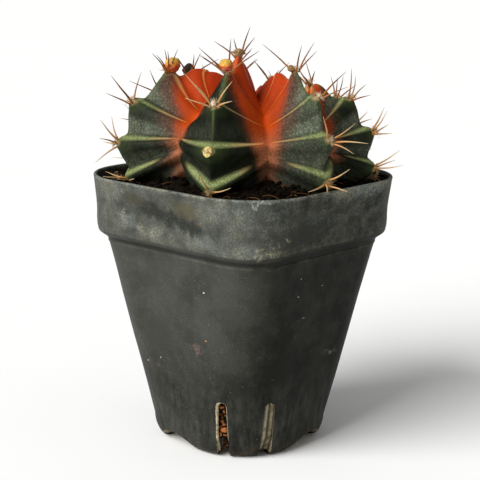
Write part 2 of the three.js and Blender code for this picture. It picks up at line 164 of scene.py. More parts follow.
# What fills the two front slots: lumps of bark as [across, height, size, tone] with a crust of lime round
# them, and a plug of dirt
BARK = [[0, 15.6, 0.8, 0.55], [0.5, 14.5, 0.8, 0.6], [-0.3, 13.5, 0.85, 0.15], [0.5, 12.4, 0.85, 0.35],
        [-0.2, 11.4, 0.9, 0.2], [0.6, 10.5, 0.8, 0.45], [-0.4, 9.7, 0.8, 0.3], [0.3, 8.3, 1.3, 0.9],
        [-0.5, 7.4, 0.9, 0.6], [0.9, 6.9, 0.7, 0.75], [0.2, 4.6, 0.9, 0], [0.4, 2.6, 0.9, 0.05]]
BARK_LUMPS = {"each": 5, "shift": 0.3, "depths": (1.3, 2.2), "sizes": (0.5, 1.1), "tone": 0.12}
CRUST = {"left": 0.42, "right": 0.16, "sunk": 0.35, "from": 1.5, "steps": 90, "sides": 10, "uneven": 0.3}
DIRT = {"foot": 1.9, "top": 17.1, "sunk": 0.1, "back": 1.3, "gap": 0.08, "rings": 40, "sides": 24,
        "groove": 0.9, "groove_at": 0.1, "groove_width": 0.22}

# The axis of the cactus stands a little beside the pot's
AXIS = np.array([1.7, -1.5, 0])

# Crest of a rib and bottom of a furrow, as [radius, height] from the neck to the middle of the top
CREST = [[18, 69], [27, 71.6], [35.4, 76.6], [36.8, 87.1], [32.2, 97.8], [22, 104.8],
         [13, 104.6], [6.5, 102], [0, 97]]
FURROW = [[18, 69], [22, 74], [26, 81], [27.4, 87.5], [21, 93.2], [14, 96],
          [8, 96.8], [4, 96.8], [0, 97]]
FIRST_AREOLE = 2
YOUNGEST = 6
ROOT = [[8, 57.6], [13.5, 61], [17, 65.5]]
ROOT_TIP = 57

# Ribs as in the CAD source: compass turn, radius factor, extra heights, shift and number of the areoles,
# and the fans of spines that show in the photograph as turn, lean and length, or the length of the spines
# by rule. Red gives where the red of the left and the right flank begins, from crest 0 to furrow 1, at each
# of the red levels, and bloom how powdery each flank is.
RIBS = [
    {
        "turn": -157, "reach": 0.98, "rise": 1.5, "peak": 3, "slip": -0.05, "areoles": 5,
        "fans": [
            [[-15, 15, 8.5], [65, 10, 7.5]],
            [],
            [[-115, 30, 7.5], [-105, 65, 7.5], [-75, 50, 10.5], [55, 35, 7.5], [110, 25, 7.5]],
            [[-110, 40, 9], [-120, 30, 8], [35, 75, 7.5], [75, 25, 9.5]],
            [[-95, 20, 7.5], [-35, 35, 7.5], [55, 70, 7.5], [25, 40, 7.5]],
        ],
        "red": [[0.95, 0.95, 0.9, 0.45, -0.3, -1], [0.85, 0.72, 0.47, 0.05, -0.5, -1]],
        "bloom": [0.12, 0.04],
    },
    {
        "turn": -103, "reach": 0.935, "rise": 0.6, "peak": 0, "slip": 0.2, "areoles": 4,
        "fans": [
            [[-95, 15, 10], [15, 50, 7.5], [-115, 40, 7.5], [-145, 80, 7.5]],
            [[65, 60, 7.5], [130, 45, 9.5], [165, 35, 7.5], [-40, 30, 7.5]],
            [[-35, 45, 10], [135, 40, 8], [110, 60, 9]],
            [[-55, 40, 10.5], [-165, 40, 7.5], [135, 45, 8], [155, 25, 7.5]],
        ],
        "red": [[0.83, 0.8, 0.61, 0.15, -0.5, -1], [0.85, 0.8, 0.7, 0.3, -0.3, -1]],
        "bloom": [0.9, 0.7],
    },
    {
        "turn": -66, "reach": 0.95, "rise": -3.4, "peak": 0, "slip": 0.35, "areoles": 3,
        "fans": [
            [[0, 50, 8], [-50, 75, 7.5], [75, 30, 7]],
            [[-35, 50, 7.5], [-95, 40, 7.5], [-120, 35, 7.5], [60, 35, 7]],
            [[-40, 65, 7.5], [-125, 40, 7.5], [-140, 20, 7.5], [70, 35, 7]],
        ],
        "red": [[0.78, 0.84, 0.62, -0.08, -0.6, -1], [0.88, 0.88, 0.72, 0.2, -0.3, -1]],
        "bloom": [0.5, 0.5],
    },
    {"turn": -20, "reach": 0.9, "rise": -5, "peak": 0, "slip": 0.2, "areoles": 4, "spine": 6.6},
    {"turn": 25, "reach": 0.92, "rise": -5, "peak": 0, "slip": 0.1, "areoles": 4, "spine": 6.6},
    {"turn": 62, "reach": 0.96, "rise": -4, "peak": 2, "slip": 0.2, "areoles": 5, "spine": 9},
    {"turn": 103, "reach": 0.95, "rise": -3, "peak": 0, "slip": 0.1, "areoles": 4, "spine": 9},
    {
        "turn": 149, "reach": 1.03, "rise": 0.4, "peak": 0, "slip": -0.15, "areoles": 4,
        "fans": [
            [[35, 40, 7.5], [85, 25, 7.5], [105, 0, 9], [-70, 30, 7]],
            [[20, 50, 7.5], [-30, 15, 7.5], [90, 45, 7.5], [165, 25, 8], [-100, 5, 8]],
            [[145, 50, 7.5], [95, 45, 7.5], [-65, 80, 7.5], [15, 25, 8]],
            [[140, 40, 7.5], [125, 35, 7.5], [95, 40, 7.5], [65, 40, 7.5], [-75, 35, 7]],
        ],
        "red": [[0.9, 0.85, 0.75, 0.3, -0.4, -1], [0.83, 0.9, 0.68, 0.17, -0.5, -1]],
        "bloom": [0.56, 0.62],
    },
]

# Red and powder of the other ribs, how softly the red begins, and how far round an areole the green is
# brighter
RED_LEVELS = [2, 3, 4, 5, 6, 7]
RED_BY_RULE = [0.85, 0.82, 0.65, 0.1, -0.5, -1]
RED_BLUR = 1.0
BLOOM_BY_RULE = [0.5, 0.5]
CHIN_REACH = 0.3

# Values stored on the skin for its colours: place along and level of the rib, from crest to furrow, how far
# it has turned red, powder, and closeness to an areole over a small and a wider reach
SKIN_VALUES = ("along", "level", "flank", "red", "bloom", "pad", "chin")

# Points across a rib and for each step along it, on the skin and on the plain hole in the soil
RIB_COLUMNS = 32
ROWS_PER_STEP = 28
HOLE_COLUMNS = 12
HOLE_ROWS_PER_STEP = 6

# Hollow between neighbouring areoles: its depth, where in the step it is deepest, and what is left of it in
# the furrow. The crest is a little round.
HOLLOW = 2.2
HOLLOW_AT = 0.3
HOLLOW_FLANK = 0.3
CREST_ROUND = 0.06

# How much further than its gap the soil's hole is from the axis, because the flanks are steep
OUTWARD = 1.4

# Flanks swell beside the low areoles and are hollow all along higher up: a value for each level. Bands
# and hollows slant towards the middle level from the crest to the furrow.
FLANK_POWER = {"levels": [3, 3.6, 5, 6], "values": [0.95, 0.74, 0.84, 1.15]}
FLANK_SWELL = {"levels": [3, 3.6], "values": [0.3, 0.06]}
SLANT = {"share": 0.42, "level": 3}

# Low ridge under each pale band, and woolly pads
BAND_AT = 0.16
RIDGE = {"height": 0.45, "width": 0.065}
PAD = {"height": 0.7, "width": 0.2}

# Spines by rule on the ribs with no fans of their own, and what all spines share
FAN = [-98, -48, 50, 102]
FAN_JITTER = 24
LEAN = [25, 50]
SPINE = {"usual": 7.5, "spread": 0.3, "radius": 0.27, "sunk": 0.9, "apart": 0.8, "bend": 0.7,
         "lowest": 77.4, "young": 0.75, "rings": 9, "sides": 7, "sway": 0.35, "tip": 0.14, "taper": 1.6}
SEED = 7

# Wool of each kind: how many hairs, the size of its core and the hairs' length, with its age and that of
# its spines, from 0 fresh to 1 old, where they aren't by rule. Then the areoles of another kind than usual.
WOOL = {
    "usual": {"hairs": 60, "core": 0.5, "length": 0.85},
    "white": {"hairs": 110, "core": 0.75, "length": 0.7, "age": 0, "spine_age": 0.9},
    "top": {"hairs": 150, "core": 1.35, "length": 0.9, "age": 0.9},
    "bare": {"hairs": 14, "core": 0.4, "length": 0.6},
}
WOOL_KINDS = {(0, 1): "bare", (0, 2): "white", (0, 4): "top"}
HAIR = {"radii": [0.06, 0.055, 0.045, 0.012], "sides": 3, "lengths": (0.6, 1.3), "splay": 1.4,
        "stray": 0.4, "curl": 0.3}

# What stands on some areoles, with its shift from the areole's middle, and the overlapping scales of a bud
BUDS = [
    {"rib": 7, "order": 3, "radius": 2.1, "up": 1.6, "across": 0.3, "out": 1},
    {"rib": 0, "order": 3, "radius": 1.8, "up": 0.6, "across": -0.4, "out": 1},
]
SCALES = {"rows": 4, "around": 6, "point": 0.35, "edge": 0.1}
WOOLLY_PAD = {"rib": 1, "order": 3, "radius": 0.9, "up": 0.4, "across": -1.2, "out": 0.3}
DRIED_BUD = {"rib": 6, "order": 3, "radius": 1.7, "up": 0, "across": 1, "out": 0.9, "lobes": 5, "fold": 0.12}
BARE_AREOLE = {"rib": 0, "order": 1, "radius": 1.5, "up": 0, "across": 0, "out": -0.1,
               "narrow": 0.78, "height": 0.45, "dish": 0.25, "pits": 0.12}

# Loose and dead matter: darkest and lightest screen colour, and depth of its bumps or size of its fibres
EARTH = {
    "bark": {"dark": (44, 26, 14), "light": (176, 108, 60), "bump": 0.15},
    "slot_crust": {"dark": (92, 80, 58), "light": (178, 166, 138), "bump": 0.12},
    "slot_dirt": {"dark": (72, 64, 46), "light": (146, 138, 116), "bump": 0.2},
    # Painted shade: the peat is darkened to near black for the shade the soil lies in inside the pot.
    "peat_with_painted_shade": {"dark": (6, 5, 3), "light": (28, 21, 14), "bump": 0.35},
    "coir": {"dark": (38, 22, 12), "light": (104, 72, 42), "bump": 0.05},
    "dry_bits": {"dark": (44, 26, 14), "light": (172, 146, 104), "bump": 0.05},
}
FIBROUS = {
    "dried_bud": {"dark": (14, 10, 7), "light": (58, 42, 27), "fibre": 0.5},
    "bare_areole": {"dark": (118, 82, 36), "light": (226, 208, 134), "fibre": 0.4},
}

# Camera: where the photograph was taken from, in the pot's frame
CAMERA = {"distance": 380, "height": 140, "away": 41.26, "down": 12.355, "roll": 0.953,
          "left": 0.64, "lens": 103.1, "sensor": 36}

# Soft light from all round, and a broad light from the left of the camera
AMBIENT = 0.35
KEY_LIGHT = {"turn": 170, "elevation": 33, "spread": 45, "power": 4.4}

random = np.random.default_rng(SEED)


# Numbers and curves

def lerp(start, end, share):
    return start + (end - start) * share


def smoothstep(value, low, high):
    share = np.clip((value - low) / (high - low), 0, 1)
    return share * share * (3 - 2 * share)


def draw(index):
    """A repeatable number from 0 to 1 for each index, as the CAD source draws it."""
    return math.sin(index * 12.9898 + SEED) * 43758.5453 % 1


def on_curve(points, t):
    """A smooth curve through points that lie at whole values of t."""
    points = np.asarray(points, float)
    last = len(points) - 1
    t = np.clip(np.asarray(t, float), 0, last)
    first = np.floor(t).astype(int)
    share = (t - first)[..., None]
    before = points[np.maximum(first - 1, 0)]
    here = points[first]
    after = points[np.minimum(first + 1, last)]
    beyond = points[np.minimum(first + 2, last)]
    leave = (after - before) / 2
    arrive = (beyond - here) / 2
    cubic = 2 * here - 2 * after + leave + arrive
    square = -3 * here + 3 * after - 2 * leave - arrive
    return cubic * share ** 3 + square * share ** 2 + leave * share + here


def rough(points, size, seed=0.0):
    """Smooth noise from -1 to 1 at each point, with lumps of about the size given."""
    offset = Vector((seed, 2 * seed, -seed))
    return np.array([noise.noise(Vector(point) / size + offset) for point in points])


# Meshes

def loft(rings, lower, upper):
    """A closed skin over stacked rings of points, with a fan to a point at each end."""
    rings = np.asarray(rings, float)
    rows, columns = rings.shape[:2]
    points = np.vstack([rings.reshape(-1, 3), lower, upper])
    here = np.arange(columns)
    following = np.roll(here, -1)
    faces = []
    for start in range(0, (rows - 1) * columns, columns):
        above = start + columns
        quads = [start + here, start + following, above + following, above + here]
        faces += np.stack(quads, axis=1).tolist()
    last = (rows - 1) * columns
    end = np.full(columns, rows * columns)
    faces += np.stack([following, here, end], axis=1).tolist()
    faces += np.stack([last + here, last + following, end + 1], axis=1).tolist()
    return points, faces


def mesh_of(name, points, faces):
    """A smooth mesh in metres, from points in millimetres."""
    mesh = bpy.data.meshes.new(name)
    mesh.from_pydata((np.asarray(points) * MM).tolist(), [], faces)
    mesh.shade_smooth()
    return mesh


def piece(name, mesh, material, slot, **values):
    """A finished piece of the object, from its mesh and values for its points."""
    for key, value in values.items():
        set_attribute(mesh, key, value)
    mesh.materials.append(material)
    made = bpy.data.objects.new(name, mesh)
    bpy.context.scene.collection.objects.link(made)
    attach(made, "root")
    return made


def set_attribute(mesh, name, values):
    attribute = mesh.attributes.new(name, "FLOAT", "POINT")
    attribute.data.foreach_set("value", np.asarray(values, np.float32))


def cut(mesh, cutters, sharp_angle):
    """The mesh less the closed cutters, with edges sharper than the angle left crisp."""
    body = bpy.data.objects.new("body", mesh)
    bpy.context.scene.collection.objects.link(body)
    made = []
    for cutter in cutters:
        tool = bpy.data.objects.new("tool", cutter)
        bpy.context.scene.collection.objects.link(tool)
        made.append(tool)
        boolean = body.modifiers.new("cut", "BOOLEAN")
        boolean.operation = "DIFFERENCE"
        boolean.solver = "MANIFOLD"
        boolean.object = tool
    depsgraph = bpy.context.evaluated_depsgraph_get()
    result = bpy.data.meshes.new_from_object(body.evaluated_get(depsgraph))
    result.materials.clear()
    for used in [body, *made]:
        bpy.data.objects.remove(used)
    result.set_sharp_from_angle(angle=math.radians(sharp_angle))
    return result


class Heap:
    """Gathers many small closed shapes, with values or a tint for the points of each, into one mesh."""

    def __init__(self, *names):
        self.points = []
        self.faces = []
        self.values = {name: [] for name in names}
        self.tints = []
        self.count = 0

    def add(self, points, faces, tint=None, **values):
        """One more shape, with one value for all its points or one for each."""
        self.points.append(points)
        if tint is not None:
            self.tints.append(np.broadcast_to(tint, (len(points), 4)))
        self.faces += [[corner + self.count for corner in face] for face in faces]
        self.count += len(points)
        for name, value in values.items():
            self.values[name].append(np.broadcast_to(value, len(points)))

    def finish(self, name, material, slot):
        mesh = mesh_of(name, np.vstack(self.points), self.faces)
        if self.tints:
            tint = mesh.attributes.new("tint", "FLOAT_COLOR", "POINT")
            tint.data.foreach_set("color", np.concatenate(self.tints).ravel().astype(np.float32))
        values = {key: np.concatenate(parts) for key, parts in self.values.items()}
        piece(name, mesh, material, slot, **values)


def tube(path, radii, sides):
    """The points and faces of a closed tube along a path."""
    path = np.asarray(path, float)
    ahead = np.gradient(path, axis=0)
    ahead /= np.linalg.norm(ahead, axis=1)[:, None]
    helper = np.array([0.3, 0.5, 0.8])
    if abs(ahead[0] @ helper) > 0.9:
        helper = np.array([1.0, 0, 0])
    side = np.cross(ahead, helper)
    side /= np.linalg.norm(side, axis=1)[:, None]
    other = np.cross(ahead, side)
    angles = np.arange(sides) * 2 * math.pi / sides
    spokes = side[:, None] * np.cos(angles)[None, :, None] + other[:, None] * np.sin(angles)[None, :, None]
    rings = path[:, None] + spokes * np.asarray(radii)[:, None, None]
    return loft(rings, path[0], path[-1])


def ball(detail):
    """The points and faces of a unit sphere made of triangles."""
    shape = bmesh.new()
    bmesh.ops.create_icosphere(shape, subdivisions=detail, radius=1)
    points = np.array([vertex.co for vertex in shape.verts])
    faces = [[vertex.index for vertex in face.verts] for face in shape.faces]
    shape.free()
    return points, faces


# Shader nodes

def colour(red, green, blue):
    """A linear colour from the 0 to 255 values of a screen."""
    screen = np.array([red, green, blue]) / 255
    linear = np.where(screen <= 0.04045, screen / 12.92, ((screen + 0.055) / 1.055) ** 2.4)
    return (*linear.tolist(), 1)


class Shader:
    """A material whose nodes are added one by one and linked by what is given for their inputs."""

    def __init__(self, name, roughness, specular=0.5):
        self.material = bpy.data.materials.new(name)
        self.material.use_nodes = True
        self.tree = self.material.node_tree
        self.surface = self.tree.nodes["Principled BSDF"]
        self.fill(self.surface, {"Roughness": roughness, "Specular IOR Level": specular})
        self.place = self.add("ShaderNodeTexCoord", {}, "Object")
        self.places = {}

    def fill(self, node, inputs):
        for key, value in inputs.items():
            if isinstance(value, bpy.types.NodeSocket):
                self.tree.links.new(value, node.inputs[key])
            else:
                node.inputs[key].default_value = value

    def add(self, kind, inputs, output, **settings):
        node = self.tree.nodes.new(kind)
        for key, value in settings.items():
            setattr(node, key, value)
        self.fill(node, inputs)
        return node.outputs[output]

    def attribute(self, name):
        return self.add("ShaderNodeAttribute", {}, "Fac", attribute_name=name)

    def stretched(self, x, y, z):
        """Place on the object in millimetres, squeezed along each axis."""
        inputs = {"Vector": self.place, "Scale": (x / MM, y / MM, z / MM)}
        return self.add("ShaderNodeMapping", inputs, "Vector")

    def along_axis(self, place, axis):
        return self.add("ShaderNodeSeparateXYZ", {"Vector": place}, axis)

    def noise(self, size, detail=3.0, squeeze=(1, 1, 1), rough_share=0.55):
        """Noise from 0 to 1 with lumps of about that many millimetres."""
        inputs = {
            "Vector": self.stretched(*squeeze),
            "Scale": 1 / size,
            "Detail": detail,
            "Roughness": rough_share,
        }
        return self.add("ShaderNodeTexNoise", inputs, "Fac")

    def cells(self, size, output="Distance"):
        """Distance to the middle of the nearest cell of about that many millimetres, or its own colour."""
        inputs = {"Vector": self.stretched(1, 1, 1), "Scale": 1 / size}
        return self.add("ShaderNodeTexVoronoi", inputs, output)

    def swing(self, noise_value, reach):
        """Noise spread evenly about 0, over the reach given."""
        return self.product(self.math("SUBTRACT", noise_value, 0.5), reach)

    def step(self, value, low, high, start=0.0, end=1.0):
        """Turns a value smoothly from start at low to end at high, where low may be the larger."""
        inputs = {"Value": value, "From Min": low, "From Max": high, "To Min": start, "To Max": end}
        return self.add("ShaderNodeMapRange", inputs, "Result", interpolation_type="SMOOTHSTEP")

    def math(self, operation, first, second=0.0):
        node = self.tree.nodes.new("ShaderNodeMath")
        node.operation = operation
        self.fill(node, {0: first, 1: second})
        return node.outputs[0]

    def distance(self, value, middle):
        return self.math("ABSOLUTE", self.math("SUBTRACT", value, middle))

    def product(self, *values):
        result = values[0]
        for value in values[1:]:
            result = self.math("MULTIPLY", result, value)
        return result

    def mix(self, share, first, second):
        node = self.tree.nodes.new("ShaderNodeMix")
        node.data_type = "RGBA"
        self.fill(node, {0: share, 6: first, 7: second})
        return node.outputs[2]

    def ramp(self, value, low, high, start, end):
        """Turns smoothly from one screen colour at low to another at high."""
        return self.mix(self.step(value, low, high), colour(*start), colour(*end))

    def over(self, base, share, screen):
        """The base with a share of a screen colour laid over it."""
        return self.mix(share, base, colour(*screen))

    def layers(self, base, values, rows):
        """The base under layers of screen colours, each with steps of named values that make its share."""
        for screen, *steps in rows:
            shares = [self.step(values[name], *limits) for name, *limits in steps]
            base = self.over(base, self.product(*shares), screen)
        return base

    def vector(self, operation, first, second):
        return self.add("ShaderNodeVectorMath", {0: first, 1: second}, "Vector", operation=operation)

    def warped(self, ragged):
        """Place on the object in millimetres, shifted about by noise."""
        if ragged not in self.places:
            here = self.stretched(1, 1, 1)
            warp = self.add("ShaderNodeTexNoise", {"Vector": here, "Scale": 0.4, "Detail": 4.0}, "Color")
            shift = self.vector("SUBTRACT", warp, (0.5, 0.5, 0.5))
            self.places[ragged] = self.vector("ADD", here, self.vector("MULTIPLY", shift, (2 * ragged,) * 3))
        return self.places[ragged]

    def near(self, spot, reach, ragged=2.5):
        """1 at a spot given in millimetres and 0 from its reach along each axis on, with a ragged edge."""
        away = self.vector("SUBTRACT", self.warped(ragged), spot)
        scaled = self.vector("DIVIDE", away, reach)
        distance = self.add("ShaderNodeVectorMath", {0: scaled}, "Value", operation="LENGTH")
        return self.step(distance, 1.0, 0.3)

    def bump(self, height, distance, strength=1.0, under=None):
        inputs = {"Height": height, "Distance": distance * MM, "Strength": strength}
        if under is not None:
            inputs["Normal"] = under
        return self.add("ShaderNodeBump", inputs, "Normal")

    def finish(self, base, roughness=None, normal=None):
        self.fill(self.surface, {"Base Color": base})
        if roughness is not None:
            self.fill(self.surface, {"Roughness": roughness})
        if normal is not None:
            self.fill(self.surface, {"Normal": normal})
        return self.material


def pot_inputs(shader):
    """What the wall's colours depend on: place in millimetres, how far left it is for the painted light on
    the lit side, and noises.
    """
    here = shader.stretched(1, 1, 1)
    x = shader.along_axis(here, "X")
    return {
        "here": here,
        "height": shader.along_axis(here, "Z"),
        "left": shader.step(x, LIT_AND_BLEACHED_LEFT["from"], LIT_AND_BLEACHED_LEFT["to"]),
        "x": x,
        "cloud": shader.noise(9, detail=5, rough_share=0.6),
        "small": shader.noise(3.2, detail=5, rough_share=0.6),
        "grain": shader.noise(0.42, detail=3, rough_share=0.7),
        "streak": shader.noise(1.8, detail=4, squeeze=(1, 1, 0.22)),
    }


def pot_body_colour(shader, wall):
    """Plastic with soft clouds, lighter on the left as painted light with some bleaching, dusty and muddy
    towards the feet.
    """
    base = shader.ramp(wall["cloud"], 0.35, 0.65, (16, 17, 12), (34, 35, 29))
    # Painted light: the left side, where the key light falls, is made lighter, more so higher up, with some
    # bleaching.
    bleached = ["x", LIT_AND_BLEACHED_LEFT["from"], LIT_AND_BLEACHED_LEFT["to"]]
    return shader.layers(base, wall, [
        [(48, 49, 42), ["small", 0.45, 0.75, 0, 0.3]],
        [(68, 69, 63), bleached, ["height", 10, 34, 0.2, 0.75], ["cloud", 0.3, 0.6, 0.68, 1]],
        [(78, 77, 73), ["height", 28, 8], ["streak", 0.35, 0.7, 0, 0.35]],
        # Pale grain dots: dust, with painted light making them denser on the lit left side.
        [(98, 98, 90), ["grain", 0.5, 0.72], ["small", 0.35, 0.65, 0.05, 0.5], ["left", 0, 1, 0.35, 1]],
        [(70, 54, 30), ["height", 5, 0.5], ["small", 0.45, 0.65, 0, 0.6]],
    ])


def pot_film(shader, wall, base):
    """The wall under its lime film, densest at some spots and at the lip, where it is also a painted
    highlight on the rounded top edge, and the film's share.
    """
    rim = shader.step(wall["height"], RIM_FOOT["z"] - 0.2, RIM_FOOT["z"] + 0.3)
    # The pale line along the lip is lime film and a painted highlight on the rounded top edge.
    lip = shader.step(wall["height"], POT_HEIGHT - 1.1, POT_HEIGHT - 0.3)
    where = shader.product(rim, shader.step(wall["small"], 0.3, 0.7, 0.04, 0.3))
    for spot in FILM:
        patch = shader.product(rim, shader.near(spot["at"], spot["reach"]), spot["share"])
        where = shader.math("ADD", where, patch)
    where = shader.math("ADD", where, shader.product(lip, shader.step(wall["small"], 0.3, 0.6, 0.1, 0.5)))
    share = shader.product(where, shader.step(wall["grain"], 0.38, 0.64, 0.35, 1.15))
    film = shader.ramp(wall["cloud"], 0.4, 0.6, (128, 133, 127), (138, 138, 122))
    return shader.mix(shader.math("MINIMUM", share, 0.9), base, film), where


def pot_spots(shader, wall, base):
    """The wall with its stains, the painted shadow in the dent on the rim's left, and its crusts of lime."""
    grainy = shader.step(wall["grain"], 0.3, 0.7, 0.95, 0.68)
    for spot in STAINS_AND_DENT_SHADOWS:
        share = shader.product(shader.near(spot["at"], spot["reach"]), grainy)
        base = shader.over(base, share, spot["colour"])
    crusty = shader.step(wall["grain"], 0.4, 0.6)
    for spot in CRUSTS:
        share = shader.product(shader.near(spot["at"], spot["reach"], 4.0), crusty, spot["share"])
        base = shader.over(base, share, spot["colour"])
    return base


def pot_marks(shader, wall, base):
    """The wall with a painted shadow in the crease under the rim, a pale bead line, sparse dots and fine
    scratches.
    """
    values = {
        **wall,
        "crease_shade": shader.distance(wall["height"], BODY_TOP["z"] + 0.4),
        "bead": shader.distance(wall["height"], BODY_TOP["z"] - BEAD["below"]),
        "dot": shader.cells(1.6),
        "chance": shader.along_axis(shader.cells(1.6, "Color"), "X"),
        "scratch": shader.noise(0.5, detail=2, squeeze=(1, 1, 0.06)),
    }
    return shader.layers(base, values, [
        # Painted shade: a dark line in the crease under the rim, where the step faces down into shadow.
        [(16, 16, 12), ["crease_shade", 0.9, 0.3, 0, 0.6]],
        [(104, 100, 84), ["bead", 0.35, 0.1], ["small", 0.42, 0.62, 0, 0.2]],
        [(128, 124, 112), ["dot", 0.11, 0.05], ["chance", 0.7, 0.85, 0, 0.55]],
        [(104, 102, 94), ["scratch", 0.66, 0.72], ["cloud", 0.5, 0.62, 0, 0.2]],
    ])


def pot_cut_edges(shader, wall, base):
    """The wall with tan dirt on the cut faces of its slots and arches."""
    level = shader.vector("MULTIPLY", shader.add("ShaderNodeNewGeometry", {}, "True Normal"), (1, 1, 0))
    radial = shader.vector("NORMALIZE", shader.vector("MULTIPLY", wall["here"], (1, 1, 0)), (0, 0, 0))
    facing = shader.add("ShaderNodeVectorMath", {0: level, 1: radial}, "Value", operation="DOT_PRODUCT")
    aside = shader.step(shader.distance(facing, 0.0), 0.6, 0.3, 0.0, 0.85)
    below = shader.step(wall["height"], SLOT["height"] + 0.6, SLOT["height"] + 0.2)
    above = shader.step(wall["height"], 0.6, 1.4)
    dirt = shader.ramp(wall["grain"], 0.35, 0.65, (112, 100, 78), (172, 160, 134))
    return shader.mix(shader.product(aside, below, above), base, dirt)


def pot_plastic():
    """Dark grey plastic: dusty, with lime film and crusts on the rim, stains, specks and dirty cut edges;
    painted light on the left side and along the lip, and painted shade in the crease under the rim and in a
    dent of the rim.
    """
    shader = Shader("pot_plastic", 0.6, specular=0.07)
    wall = pot_inputs(shader)
    base, film = pot_film(shader, wall, pot_body_colour(shader, wall))
    base = pot_spots(shader, wall, base)
    base = pot_marks(shader, wall, base)
    base = pot_cut_edges(shader, wall, base)
    normal = shader.bump(wall["grain"], 0.04, 0.6)
    normal = shader.bump(wall["small"], 0.25, 0.4, under=normal)
    return shader.finish(base, roughness=shader.step(film, 0.0, 0.6, 0.5, 0.8), normal=normal)


def earth_material(name):
    """Soil, bark, lime or coir with lighter and darker bits, each bit with a tone of its own."""
    look = EARTH[name]
    shader = Shader(name, 0.95, specular=0.05)
    tone = shader.attribute("tone")
    grain = shader.noise(0.5, detail=6, rough_share=0.7)
    share = shader.math("ADD", shader.product(tone, 0.75), shader.product(grain, 0.5))
    base = shader.ramp(share, 0.2, 1.0, look["dark"], look["light"])
    return shader.finish(base, normal=shader.bump(grain, look["bump"], 0.9))


def skin_inputs(shader):
    """What the skin's colours depend on: its stored values, the step between bands and two noises."""
    skin = {name: shader.attribute(name) for name in SKIN_VALUES}
    skin["step"] = shader.math("FRACT", skin["level"])
    skin["mottle"] = shader.noise(2.0, detail=5, squeeze=(1, 1, 0.45))
    skin["scurf"] = shader.noise(0.45, detail=4, squeeze=(1, 1, 0.8), rough_share=0.7)
    return skin


def skin_powder_and_sheen(shader, skin):
    """How much pale bloom lies on the skin, most of it half way between two bands as painted light, with
    painted shade just under each band.
    """
    # Painted light and shade: lighter where the hollow between two bands slopes up to the light, dark just
    # under each band.
    painted_light_between_bands = shader.step(skin["step"], 0.12, 0.4)
    painted_light_between_bands = shader.product(painted_light_between_bands, shader.step(skin["step"], 0.85, 0.5))
    everywhere = shader.step(skin["bloom"], 0.5, 1.0, 0.08, 0.5)
    powder_and_sheen = shader.product(skin["bloom"], shader.math("MAXIMUM", painted_light_between_bands, everywhere))
    powder_and_sheen = shader.product(powder_and_sheen, shader.step(skin["mottle"], 0.3, 0.6, 0.6, 1.0))
    return shader.product(powder_and_sheen, shader.step(skin["along"], 2.0, 3.6, 0.5, 1.0))


def skin_green(shader, skin, powder_and_sheen):
    """Dark green under its pale bloom and painted sheen, with rare flecks, and brighter round the areoles."""
    base = shader.ramp(skin["mottle"], 0.3, 0.7, (12, 16, 8), (24, 29, 16))
    # The pale colour is raised to stand in for the waxy skin's sheen: painted sheen.
    base = shader.over(base, shader.product(powder_and_sheen, 0.66), (104, 111, 92))
    flecks = shader.product(powder_and_sheen, shader.step(skin["scurf"], 0.48, 0.66, 0.0, 0.7))
    base = shader.over(base, flecks, (152, 153, 136))
    base = shader.layers(base, skin, [
        [(88, 88, 70), ["scurf", 0.58, 0.72], ["mottle", 0.45, 0.7, 0, 0.35]],
    ])
    return shader.over(base, shader.product(skin["chin"], 0.5), (58, 76, 32))


def skin_red(shader, skin):
    """Red-orange, with painted light deep in the furrows against their shade, hazy and then brown towards the
    soil.
    """
    base = shader.ramp(skin["along"], 3.0, 6.0, (144, 53, 5), (166, 53, 15))
    base = shader.layers(base, skin, [
        [(146, 42, 12), ["mottle", 0.35, 0.7, 0, 0.3]],
        [(206, 104, 50), ["scurf", 0.5, 0.75, 0, 0.2]],
        # Painted light: the red is brightened deep in the furrows to cancel their shade.
        [(214, 78, 16), ["flank", 0.75, 1], ["along", 3.2, 3.8, 0, 0.4]],
    ])
    haze = shader.ramp(skin["scurf"], 0.35, 0.7, (148, 82, 52), (186, 130, 94))
    base = shader.mix(shader.step(skin["along"], 3.7, 2.6, 0.0, 0.8), base, haze)
    return shader.over(base, shader.step(skin["along"], 2.7, 1.9, 0.0, 0.8), (94, 64, 44))


def skin_turning(shader, skin, green):
    """Green that turns dusky and then red, with how far it has turned and the share of red."""
    ragged = shader.math("ADD", skin["red"], shader.swing(skin["scurf"], 0.09))
    ragged = shader.math("ADD", ragged, shader.swing(skin["mottle"], 0.14))
    dusky = shader.ramp(skin["scurf"], 0.4, 0.7, (64, 43, 33), (106, 75, 58))
    dusky = shader.over(dusky, shader.step(skin["bloom"], 0.0, 0.4, 0.75, 0.0), (42, 26, 18))
    narrow = shader.math("SUBTRACT", ragged, shader.step(skin["along"], 2.6, 3.8, 0.17, 0.0))
    narrow = shader.math("SUBTRACT", narrow, shader.step(skin["bloom"], 0.5, 0.55, 0.12, 0.0))
    base = shader.mix(shader.step(narrow, 0.08, 0.42, 0.0, 0.85), green, dusky)
    glow = shader.step(ragged, 0.38, 0.66)
    return shader.mix(glow, base, skin_red(shader, skin)), ragged, glow


